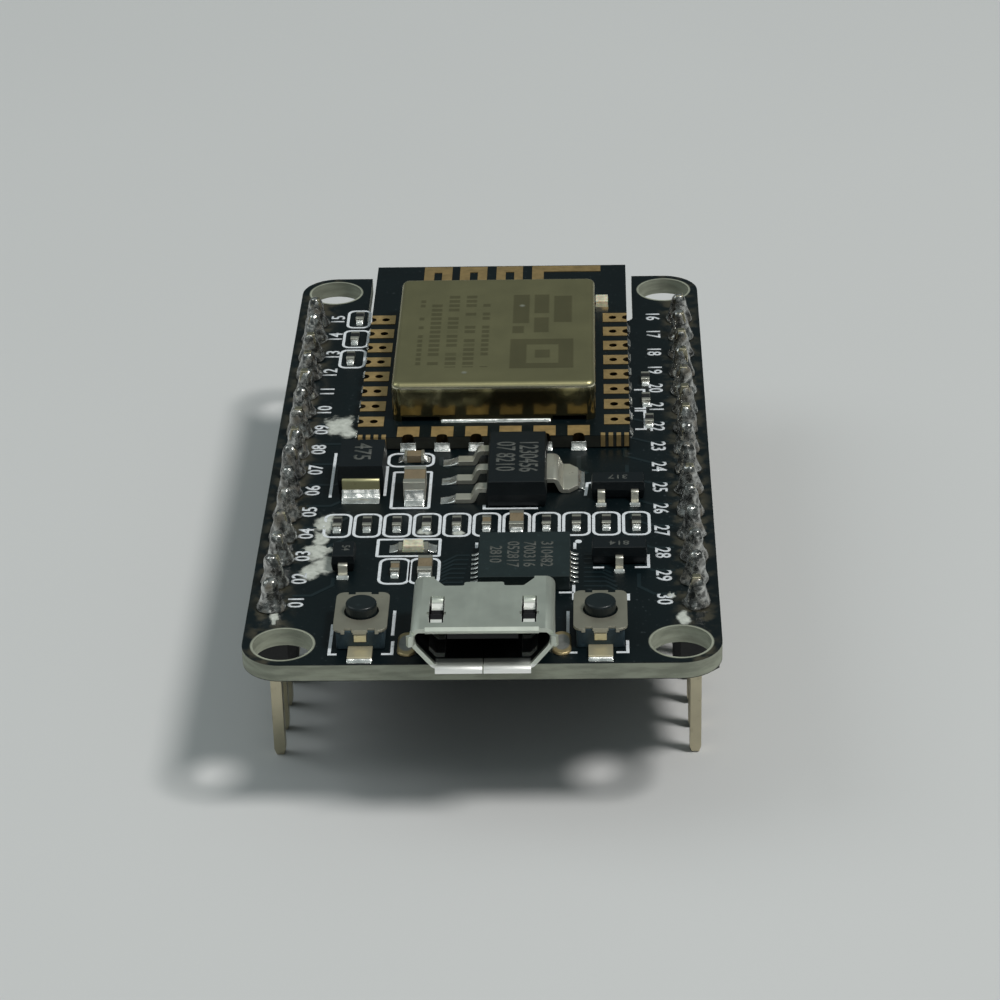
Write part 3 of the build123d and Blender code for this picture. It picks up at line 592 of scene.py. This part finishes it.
def solder_cage(mesh, x, y, seed):
    """Adds the coarse cage of one hand-made solder cone round a pin: lumpy, leaning and closed.

    The place is in millimetres from the middle of the board."""
    spokes = 10
    lean = 0.16 * noise.noise_vector(Vector((seed * 1.7, 0.3, 0.9)))
    tall = 1 + 0.12 * noise.noise(Vector((seed * 2.3, 4.1, 0.2)))
    rows = []
    for reach, rise in CONE_PROFILE:
        row = []
        drift = lean * max(0.0, rise) * 0.7
        for spoke in range(spokes):
            angle = 2 * math.pi * spoke / spokes
            way = Vector((math.cos(angle), math.sin(angle), 0))
            wobble = 1 + 0.24 * noise.noise(Vector((seed * 3.1, 0, rise)) + way * 0.9)
            away = reach * wobble
            row.append(mesh.verts.new(on_board(
                x + away * way.x + drift.x, y + away * way.y + drift.y, rise * tall)))
        rows.append(row)
    mesh.faces.new(reversed(rows[0]))
    mesh.faces.new(rows[-1])
    for below, above in zip(rows, rows[1:]):
        for spoke in range(spokes):
            after = (spoke + 1) % spokes
            mesh.faces.new((below[spoke], below[after], above[after], above[spoke]))


def rounded(x0, x1, y0, y1, radius, steps=4):
    """The outline of a rectangle with round corners, anticlockwise."""
    points = []
    for corner, (x, y) in enumerate(((x1 - radius, y1 - radius), (x0 + radius, y1 - radius),
                                     (x0 + radius, y0 + radius), (x1 - radius, y0 + radius))):
        for step in range(steps + 1):
            angle = math.pi / 2 * (corner + step / steps)
            points.append((x + radius * math.cos(angle), y + radius * math.sin(angle)))
    return points


def edge_stripes(material):
    """Four slim gold stripes over the module's front edge at each of its two front corners."""
    mesh = bmesh.new()
    reach, width, pitch, proud = 0.3 * MM, 0.26 * MM, 0.46 * MM, 0.004 * MM
    front, top = MODULE_LOW.y - proud, MODULE_HIGH.z + proud
    bends = ((front, MODULE_LOW.z + 0.08 * MM), (front, top), (MODULE_LOW.y + reach, top))
    for corner, way in ((MODULE_LOW.x, 1), (MODULE_HIGH.x, -1)):
        for i in range(4):
            x = corner + way * (0.2 * MM + pitch * i)
            rows = []
            for y, z in bends:
                rows.append([mesh.verts.new((x - width / 2, y, z)), mesh.verts.new((x + width / 2, y, z))])
            for below, above in zip(rows, rows[1:]):
                mesh.faces.new((below[0], below[1], above[1], above[0]))
    made = piece("edge_stripes", filled("edge_stripes", mesh), material)
    thicken(made, 0.02 * MM)


def filled(name, mesh):
    """A finished mesh from one under construction."""
    data = bpy.data.meshes.new(name)
    mesh.to_mesh(data)
    mesh.free()
    return data


def thicken(made, height):
    """Gives a flat piece its thickness, upwards."""
    solid = made.modifiers.new("thickness", "SOLIDIFY")
    solid.thickness = height
    solid.offset = 1.0


def number_mesh(text, height, place, turn, narrow=1.0):
    """A flat number as a mesh, centred on a place, narrowed along its line and turned about Z."""
    curve = bpy.data.curves.new("number", "FONT")
    curve.body = text
    curve.size = height * 1.4
    curve.align_x = "CENTER"
    curve.align_y = "CENTER"
    curve.resolution_u = 3
    curve.offset = height * 0.02
    holder = bpy.data.objects.new("number", curve)
    bpy.context.scene.collection.objects.link(holder)
    bpy.context.view_layer.update()
    mesh = bpy.data.meshes.new_from_object(holder)
    turned = Matrix.Translation(place) @ Matrix.Rotation(turn, 4, "Z")
    mesh.transform(turned @ Matrix.Diagonal((narrow, 1, 1, 1)))
    bpy.data.objects.remove(holder)
    return mesh


def joined(name, meshes):
    """One mesh from several."""
    whole = bmesh.new()
    for mesh in meshes:
        whole.from_mesh(mesh)
        bpy.data.meshes.remove(mesh)
    return filled(name, whole)


# ---------------------------------------------------------------- operators

class BOARD_OT_boards(bpy.types.Operator):
    """Finish the main board and the module board"""
    bl_idname = "board.boards"
    bl_label = "Boards"

    def execute(self, context):
        finishes = context.scene.board_finishes
        dress(["main_board"], mask_material(
            "main_mask", BOARD_LOW, BOARD_HIGH, finishes, finishes.epoxy, holes=True))
        dress(["module_board"], mask_material(
            "module_mask", MODULE_LOW, MODULE_HIGH, finishes, shaded(finishes.epoxy, 0.09)))
        return {"FINISHED"}


class BOARD_OT_outlines(bpy.types.Operator):
    """Print the white outlines round the parts"""
    bl_idname = "board.outlines"
    bl_label = "Printed outlines"

    def execute(self, context):
        settings = context.scene.board_print
        width = settings.line_width / MM
        mesh = bmesh.new()
        loops = [rounded(x - 0.72, x + 0.72, -10.42, -7.8, 0.42) for x in
                 (-8.45 + 1.68 * i for i in range(11))]
        loops += [
            rounded(-5.8, -4.2, -15.7, -12.95, 0.45), rounded(-4.13, -2.55, -15.7, -12.95, 0.45),
            rounded(-6.05, -2.6, -12.65, -10.75, 0.05, 1), rounded(-5.95, -3.35, -2.05, -0.45, 0.5),
            rounded(-5.55, -3.4, -7.1, -2.75, 0.05, 1), rounded(-9.5, -8.15, 16.75, 19.2, 0.4),
            rounded(-9.6, -8.1, 13.9, 16.3, 0.4), rounded(-9.65, -8.15, 11.05, 13.5, 0.4),
        ]
        for loop in loops:
            ribbon(mesh, loop, width, closed=True)
        lines = [
            [(-9.1, -0.3), (-9.1, -5.75)], [(-5.98, -2.0), (-5.98, -5.6)],
            [(-0.25, -6.8), (-0.25, -7.25), (2.8, -7.25)],
            [(8.45, 4.8), (9.05, 4.8), (9.05, 2.4), (8.45, 2.4)],
            [(8.45, 7.6), (9.05, 7.6), (9.05, 5.1), (8.45, 5.1)],
            [(5.85, -4.25), (5.6, -4.3), (5.5, -5.8)],
            [(5.9, -14.1), (6.5, -14.1)], [(8.2, -14.1), (8.95, -14.1), (8.95, -12.7)],
            [(4.05, -16.8), (4.85, -16.8)], [(4.85, -16.0), (4.85, -17.6)], [(7.8, -17.0), (7.8, -17.7)],
            [(4.55, -18.8), (4.55, -21.5)], [(4.55, -23.1), (5.05, -23.1)],
            [(7.1, -23.1), (7.7, -23.1), (7.7, -21.9)],
            [(-4.75, -18.6), (-4.75, -21.2)], [(-4.7, -21.8), (-4.7, -23.1), (-5.25, -23.1)],
            [(-8.0, -20.0), (-8.0, -23.1), (-7.6, -23.1)],
            [(4.9, -11.3), (4.9, -12.0)], [(-0.55, -11.2), (-0.55, -11.8)],
        ]
        for line in lines:
            ribbon(mesh, line, width)
        turns = [math.pi / 4 * i for i in range(8)]
        dot = [(5.1 + 0.2 * math.cos(turn), -11.15 + 0.2 * math.sin(turn)) for turn in turns]
        mesh.faces.new([mesh.verts.new(on_board(*point)) for point in dot])
        data = filled("printed_outlines", mesh)
        made = piece("printed_outlines", data, ink_material(settings.ink))
        thicken(made, settings.ink_height)
        return {"FINISHED"}


class BOARD_OT_numbers(bpy.types.Operator):
    """Number the header pins"""
    bl_idname = "board.numbers"
    bl_label = "Pin numbers"

    def execute(self, context):
        settings = context.scene.board_print
        meshes = []
        number = settings.first_number
        for side, x, turn in ((-1, -10.12, math.pi / 2), (1, 9.72, -math.pi / 2)):
            for i in range(PIN_COUNT):
                along = i if side < 0 else PIN_COUNT - 1 - i
                place = Vector((x * MM, pin_y(along) + 0.5 * MM, BOARD_TOP))
                meshes.append(number_mesh(f"{number:02d}", settings.number_height, place, turn))
                number += 1
        ink = bpy.data.materials["printed_ink"]
        made = piece("pin_numbers", joined("pin_numbers", meshes), ink)
        thicken(made, settings.ink_height)
        return {"FINISHED"}


class BOARD_OT_headers(bpy.types.Operator):
    """Finish both header rows and their hand-made solder"""
    bl_idname = "board.headers"
    bl_label = "Header rows"

    def execute(self, context):
        finishes = context.scene.board_finishes
        dress(["header_strip_left", "header_strip_right"],
              plastic_material("header_plastic_black", (0.012, 0.012, 0.013), 0.5))
        dress(["header_pins_left", "header_pins_right"],
              metal_material("pin_plating", (0.55, 0.50, 0.36), 0.32, (1, 1, 0.1)))
        soften(["header_pins_left", "header_pins_right"], 0.05 * MM)
        solder = solder_material("hand_solder", shaded(finishes.solder, 0.46), 0.14, 0.85, 0.07)
        # The way each cone leans follows this seed, and would follow the clock without it
        noise.seed_set(SOLDER_SEED)
        for side, sign in (("left", -1), ("right", 1)):
            mesh = bmesh.new()
            for i in range(PIN_COUNT):
                solder_cage(mesh, sign * ROW_X, (pin_y(i) - BOARD_MIDDLE.y) / MM, i + 40 * sign)
            name = f"hand_solder_{side}"
            made = piece(name, filled(name, mesh), solder)
            round_off = made.modifiers.new("round", "SUBSURF")
            round_off.levels = round_off.render_levels = 3
            texture = bpy.data.textures.new(f"solder_dents_{side}", "CLOUDS")
            texture.noise_scale = 0.8 * MM
            dents = made.modifiers.new("dents", "DISPLACE")
            dents.texture = texture
            dents.texture_coords = "LOCAL"
            dents.strength = 0.16 * MM
            dents.mid_level = 0.5
            for face in made.data.polygons:
                face.use_smooth = True
            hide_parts(f"header_solder_{side}")
        return {"FINISHED"}


class BOARD_OT_module(bpy.types.Operator):
    """Finish the radio module: pads, antenna, shield can and what it covers"""
    bl_idname = "board.module"
    bl_label = "Radio module"

    def execute(self, context):
        finishes = context.scene.board_finishes
        dress(["module_pads"], gold_material("pad_gold", finishes.gold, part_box("module_pads")[1].z / MM))
        dress(["module_antenna"], gold_material("antenna_gold", shaded(finishes.gold, 0.8)))
        dress(["module_shield"], shield_material(finishes))
        lamps = ["module_led", "power_led_base", "power_led_lens"]
        dress(lamps, lamp_material("lamp_cream", (0.80, 0.74, 0.55)))
        edge_stripes(gold_material("stripe_gold", finishes.gold))
        dress(["module_crystal"], metal_material("crystal_lid", (0.6, 0.57, 0.5), 0.3))
        return {"FINISHED"}


class BOARD_OT_socket(bpy.types.Operator):
    """Finish the USB socket"""
    bl_idname = "board.socket"
    bl_label = "USB socket"

    def execute(self, context):
        finishes = context.scene.board_finishes
        dress(["usb_shell"], socket_material(finishes.socket))
        dress(["usb_insulator"], plastic_material("socket_plastic", (0.010, 0.010, 0.011), 0.5))
        dress(["usb_contacts"], gold_material("contact_gold", (0.62, 0.45, 0.2)))
        soften(["usb_shell"], 0.05 * MM, 40)
        return {"FINISHED"}


class BOARD_OT_switches(bpy.types.Operator):
    """Finish the two push switches"""
    bl_idname = "board.switches"
    bl_label = "Push switches"

    def execute(self, context):
        finishes = context.scene.board_finishes
        cover = metal_material("switch_cover", finishes.cover, 0.42, stained=0.3, bright=0.8)
        base = plastic_material("switch_base", (0.026, 0.046, 0.058), 0.5)
        button = plastic_material("switch_button", (0.009, 0.014, 0.0155), 0.34, depth=0.006)
        terminal = metal_material("switch_terminal", (0.80, 0.72, 0.50), 0.4, bright=0.75)
        dome = metal_material("dome_steel", (0.6, 0.6, 0.6), 0.25)
        for name in ("reset", "flash"):
            dress([f"{name}_switch_cover"], cover)
            dress([f"{name}_switch_base"], base)
            dress([f"{name}_button"], button)
            dress([f"{name}_switch_terminals"], terminal)
            node = f"{name}_switch_dome"
            skin = piece(f"{name}_dome_skin", NODES[node].data.copy(), dome)
            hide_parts(node)
            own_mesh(skin)
            soften([f"{name}_switch_base"], 0.06 * MM)
            soften([f"{name}_switch_cover"], 0.04 * MM)
            soften([f"{name}_switch_terminals"], 0.03 * MM)
        return {"FINISHED"}


class BOARD_OT_chips(bpy.types.Operator):
    """Finish the chips, their leads and the small parts"""
    bl_idname = "board.chips"
    bl_label = "Chips and small parts"

    def execute(self, context):
        finishes = context.scene.board_finishes
        moulded = ["regulator_body", "tantalum_body", "transistor_bodies", "diode_body", "radio_chip",
                   "flash_chip"]
        dress(moulded, plastic_material("moulded_chip", finishes.chip, 0.42, 0.08, 0.008))
        dress(["usb_serial_chip"], plastic_material("flat_chip", (0.012, 0.021, 0.022), 0.5, 0.08, 0.008))
        soften(["usb_serial_chip"], 0.03 * MM)
        leads = ["regulator_leads", "regulator_tab", "tantalum_terminals", "transistor_leads", "diode_leads",
                 "flash_chip_leads", "usb_serial_pads"]
        dress(leads, metal_material("tinned_lead", finishes.tin, 0.36, stained=0.7, bright=0.8))
        dress(["tantalum_terminals"], metal_material(
            "tantalum_tin", (0.56, 0.53, 0.30), 0.4, (1, 1, 0.2), stained=0.6, bright=0.8))
        caps = ["ceramic_capacitor_ends", "chip_resistor_ends", "power_led_ends", "module_led_ends"]
        dress(caps, metal_material("tinned_cap", shaded(finishes.tin, 0.9), 0.3, bright=0.85))
        dress(["ceramic_capacitor_bodies"], ceramic_material("capacitor_tan", (0.22, 0.17, 0.105)))
        dress(["chip_resistor_bodies", "module_passives"],
              ceramic_material("resistor_black", (0.012, 0.012, 0.013)))
        soften(moulded, 0.05 * MM)
        soften(leads, 0.03 * MM)
        soften(["ceramic_capacitor_bodies", "chip_resistor_bodies"], 0.03 * MM)
        return {"FINISHED"}


class BOARD_OT_solder(bpy.types.Operator):
    """Melt the machine-made solder into smooth fillets"""
    bl_idname = "board.solder"
    bl_label = "Reflowed solder"

    def execute(self, context):
        finishes = context.scene.board_finishes
        nodes = ["component_solder", "module_solder"]
        dress(nodes, solder_material("reflow_solder", finishes.solder, 0.16, 0.1, 0.008))
        melt(nodes, 0.035 * MM, lump=0.05 * MM, grain=0.6, smooth=14)
        dress(["usb_anchor_solder"], anchor_material(finishes))
        melt(["usb_anchor_solder"], 0.035 * MM, smooth=6)
        return {"FINISHED"}


class BOARD_OT_marks(bpy.types.Operator):
    """Mark the chips with plain numbers"""
    bl_idname = "board.marks"
    bl_label = "Chip numbers"

    def execute(self, context):
        shade = Shade("laser_mark")
        worn = shade.noise(0.12, 2)
        ink = shade.finish(
            Base_Color=shade.mix((0.05, 0.055, 0.052), (0.13, 0.135, 0.12), worn), Roughness=0.6)
        # Chip, place from its middle in millimetres, number, height in millimetres and narrowing
        marks = (
            ("usb_serial_chip", -1.6, 0.0, "2810", 0.68, 1.0),
            ("usb_serial_chip", -0.65, 0.0, "052817", 0.68, 1.0),
            ("usb_serial_chip", 0.25, 0.0, "700316", 0.68, 1.0),
            ("usb_serial_chip", 1.2, 0.0, "310482", 0.68, 1.0),
            ("regulator_body", -0.72, 0.0, "07 8210", 1.1, 0.72),
            ("regulator_body", 0.6, 0.0, "1230456", 1.1, 0.72),
            ("tantalum_body", 0.0, 0.15, "475", 1.0, 1.0),
            ("diode_body", 0.1, 0.1, "54", 0.45, 1.0),
        )
        meshes = []
        for node, x, y, text, height, narrow in marks:
            low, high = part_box(node)
            place = Vector(((low.x + high.x) / 2 + x * MM, (low.y + high.y) / 2 + y * MM, high.z))
            meshes.append(number_mesh(text, height * MM, place, -math.pi / 2, narrow))
        low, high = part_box("transistor_bodies")
        for y, text in ((low.y + 0.6 * MM, "814"), (high.y - 0.6 * MM, "317")):
            place = Vector(((low.x + high.x) / 2, y, high.z))
            meshes.append(number_mesh(text, 0.45 * MM, place, math.pi, 1.2))
        made = piece("chip_numbers", joined("chip_numbers", meshes), ink)
        thicken(made, 0.006 * MM)
        return {"FINISHED"}


class BOARD_OT_residue(bpy.types.Operator):
    """Leave dried flux where the headers were soldered by hand"""
    bl_idname = "board.residue"
    bl_label = "Dried flux"

    def execute(self, context):
        mesh = bmesh.new()
        cover = mesh.verts.layers.float.new("cover")
        # Each patch: its place and its reach along X and Y, in millimetres
        smears = [
            (-9.0, 3.1, 1.15, 1.7), (-8.5, 2.3, 0.8, 0.9), (-9.1, -8.9, 0.7, 1.7),
            (-9.4, -12.0, 0.9, 1.6), (-8.9, -13.6, 1.0, 1.5), (-9.6, -14.3, 0.8, 1.3),
            (-9.3, -10.6, 0.6, 1.2), (-11.2, -19.2, 0.35, 1.0), (10.7, -19.6, 0.5, 1.0),
            (10.1, -17.2, 0.3, 0.5), (-3.5, -9.7, 0.5, 0.7), (-1.6, -10.0, 0.5, 0.5),
        ]
        rings, spokes = 5, 22
        for x, y, wide, long in smears:
            centre = mesh.verts.new(on_board(x, y, 0.05))
            centre[cover] = 1.0
            previous = None
            for ring in range(1, rings + 1):
                row = []
                for spoke in range(spokes):
                    angle = 2 * math.pi * spoke / spokes
                    way_x, way_y = math.cos(angle), math.sin(angle)
                    ragged = 1 + 0.55 * noise.noise(Vector((x + 1.7 * way_x, y + 1.7 * way_y, 2)))
                    reach = ragged * ring / rings
                    lump = 0.5 + noise.noise(Vector((x + 3 * reach * way_x, y + 3 * reach * way_y, 7)))
                    rise = 0.004 + 0.05 * max(0.1, lump) * (1 - ring / rings)
                    place = on_board(x + wide * reach * way_x, y + long * reach * way_y, rise)
                    row.append(mesh.verts.new(place))
                    row[-1][cover] = 1 - ring / rings
                for spoke in range(spokes):
                    after = (spoke + 1) % spokes
                    if previous:
                        mesh.faces.new((previous[spoke], row[spoke], row[after], previous[after]))
                    else:
                        mesh.faces.new((centre, row[spoke], row[after]))
                previous = row
        made = piece("dried_flux", filled("dried_flux", mesh), residue_material())
        smooth = made.modifiers.new("smooth", "SUBSURF")
        smooth.levels = smooth.render_levels = 1
        return {"FINISHED"}


class BOARD_OT_tracks(bpy.types.Operator):
    """Raise the copper tracks that show through the solder mask"""
    bl_idname = "board.tracks"
    bl_label = "Copper tracks"

    def execute(self, context):
        finishes = context.scene.board_finishes
        mesh = bmesh.new()
        for i in range(9):
            y = -17.4 + PIN_PITCH / MM * i
            end = -8.3 + 0.12 * i
            ribbon(mesh, [(-10.4, y + 0.5), (-9.4 + 0.1 * i, y + 0.5), (end, y + 1.6), (end, y + 2.4)], 0.22)
            end = 8.4 - 0.1 * i
            ribbon(mesh, [(10.4, y + 0.4), (9.2, y + 0.4), (end, y + 1.2), (end, y + 2.6)], 0.22)
        for i in range(6):
            x = MODULE_LOW.x / MM + 3 + 2 * i
            ribbon(mesh, [(x, -0.9), (x, -1.6 - 0.2 * i), (x + 0.5, -2.1 - 0.2 * i)], 0.25)
        for i in range(8):
            y, fan = -12.6 - 0.5 * i, 0.1 * i
            ribbon(mesh, [(-0.9 - 0.05 * i, y), (-1.6 - fan, y), (-2.4 - fan, -13.4 - 0.5 * i)], 0.16)
            ribbon(mesh, [(5.4, y), (6.0 + fan, y), (6.6 + fan, -13.2 - 0.5 * i)], 0.16)
        data = filled("copper_tracks", mesh)
        shade = Shade("masked_copper")
        tone = shade.mix(shaded(finishes.mask, 1.8), shaded(finishes.mask, 3.2), shade.noise(1.2, 2))
        covered = shade.finish(Base_Color=tone, Roughness=shade.noise(0.5, 2) * 0.2 + 0.26, IOR=1.5)
        made = piece("copper_tracks", data, covered)
        thicken(made, 0.012 * MM)
        return {"FINISHED"}


class BOARD_OT_stage(bpy.types.Operator):
    """Set the pale floor, the soft lights and the camera"""
    bl_idname = "board.stage"
    bl_label = "Floor, lights and camera"

    def execute(self, context):
        settings = context.scene.board_stage
        scene = context.scene
        mesh = bmesh.new()
        bmesh.ops.create_grid(mesh, x_segments=1, y_segments=1, size=3.0)
        data = filled("floor", mesh)
        floor = bpy.data.objects.new("floor", data)
        data.transform(Matrix.Translation((0, 0, CAD_BOUNDS[0][2] - 0.02 * MM)))
        scene.collection.objects.link(floor)
        data.materials.append(floor_material(settings.floor))

        target = on_board(0, 0)
        lights = (
            ("key", (0.44, -0.19, 0.88), 0.8, 0.18, settings.key, (1.0, 0.985, 0.96)),
            ("window", (-0.72, 0.12, 0.68), 0.8, 0.5, settings.window, (0.92, 0.99, 1.0)),
            ("front", (0.05, -0.85, 0.52), 0.8, 0.22, settings.front, (1.0, 0.995, 0.97)),
            ("top_front", (0.0, -0.47, 0.88), 0.8, 0.12, settings.front, (1.0, 0.995, 0.97)),
        )
        for name, direction, distance, width, power, tone in lights:
            lamp = bpy.data.lights.new(name, "AREA")
            lamp.shape = "DISK"
            lamp.size = width
            lamp.energy = power
            lamp.color = tone
            holder = bpy.data.objects.new(name, lamp)
            away = Vector(direction).normalized()
            holder.location = target + away * distance
            holder.rotation_euler = away.to_track_quat("Z", "Y").to_euler()
            scene.collection.objects.link(holder)

        world = bpy.data.worlds.new("studio")
        world.use_nodes = True
        sky = Wiring(world.node_tree)
        ray = sky.node("ShaderNodeTexCoord", out="Generated")
        toward_front = sky.node("ShaderNodeSeparateXYZ", {}, {"Vector": ray}, "Y") * -1
        upward = sky.step(sky.node("ShaderNodeSeparateXYZ", {}, {"Vector": ray}, "Z"), 0.15, 0.95)
        glow = upward * settings.overhead + sky.step(toward_front, -0.3, 0.8) * 0.05 + settings.surround
        background = world.node_tree.nodes["Background"]
        background.inputs["Color"].default_value = (0.84, 1.0, 1.0, 1.0)
        world.node_tree.links.new(glow.socket, background.inputs["Strength"])
        scene.world = world

        camera = bpy.data.cameras.new("camera")
        camera.lens = settings.lens
        camera.sensor_width = 36.0
        camera.clip_start = 0.005
        camera.clip_end = 20.0
        holder = bpy.data.objects.new("camera", camera)
        holder.location = on_board(6.22, -172.32, 90.03)
        forward = Vector((-0.02957, 0.87879, -0.47629))
        up = Vector((0.00932, 0.47672, 0.87900))
        right = forward.cross(up).normalized()
        up = right.cross(forward).normalized()
        holder.rotation_euler = Matrix((right, up, -forward)).transposed().to_euler()
        scene.collection.objects.link(holder)
        scene.camera = holder
        scene.view_settings.view_transform = "Standard"
        return {"FINISHED"}


OPERATORS = (
    BOARD_OT_stage, BOARD_OT_boards, BOARD_OT_tracks, BOARD_OT_outlines, BOARD_OT_numbers, BOARD_OT_headers,
    BOARD_OT_module, BOARD_OT_socket, BOARD_OT_switches, BOARD_OT_chips, BOARD_OT_solder, BOARD_OT_marks,
    BOARD_OT_residue,
)


class BOARD_PT_dresser(bpy.types.Panel):
    """The buttons that dress the board, in order"""
    bl_idname = "BOARD_PT_dresser"
    bl_label = "Board"
    bl_space_type = "VIEW_3D"
    bl_region_type = "UI"
    bl_category = "Board"

    def draw(self, context):
        for operator in OPERATORS:
            self.layout.operator(operator.bl_idname)
        for group in (context.scene.board_print, context.scene.board_finishes, context.scene.board_stage):
            box = self.layout.box()
            for key in group.__annotations__:
                box.prop(group, key)


GROUPS = {"board_print": BoardPrint, "board_finishes": BoardFinishes, "board_stage": BoardStage}


def register():
    for group in GROUPS.values():
        bpy.utils.register_class(group)
    for name, group in GROUPS.items():
        setattr(bpy.types.Scene, name, PointerProperty(type=group))
    for operator in OPERATORS:
        bpy.utils.register_class(operator)
    bpy.utils.register_class(BOARD_PT_dresser)


def unregister():
    bpy.utils.unregister_class(BOARD_PT_dresser)
    for operator in reversed(OPERATORS):
        bpy.utils.unregister_class(operator)
    for name in GROUPS:
        delattr(bpy.types.Scene, name)
    for group in reversed(GROUPS.values()):
        bpy.utils.unregister_class(group)


def main():
    register()
    for operator in OPERATORS:
        family, action = operator.bl_idname.split(".")
        getattr(getattr(bpy.ops, family), action)()


if __name__ == "__main__":
    main()
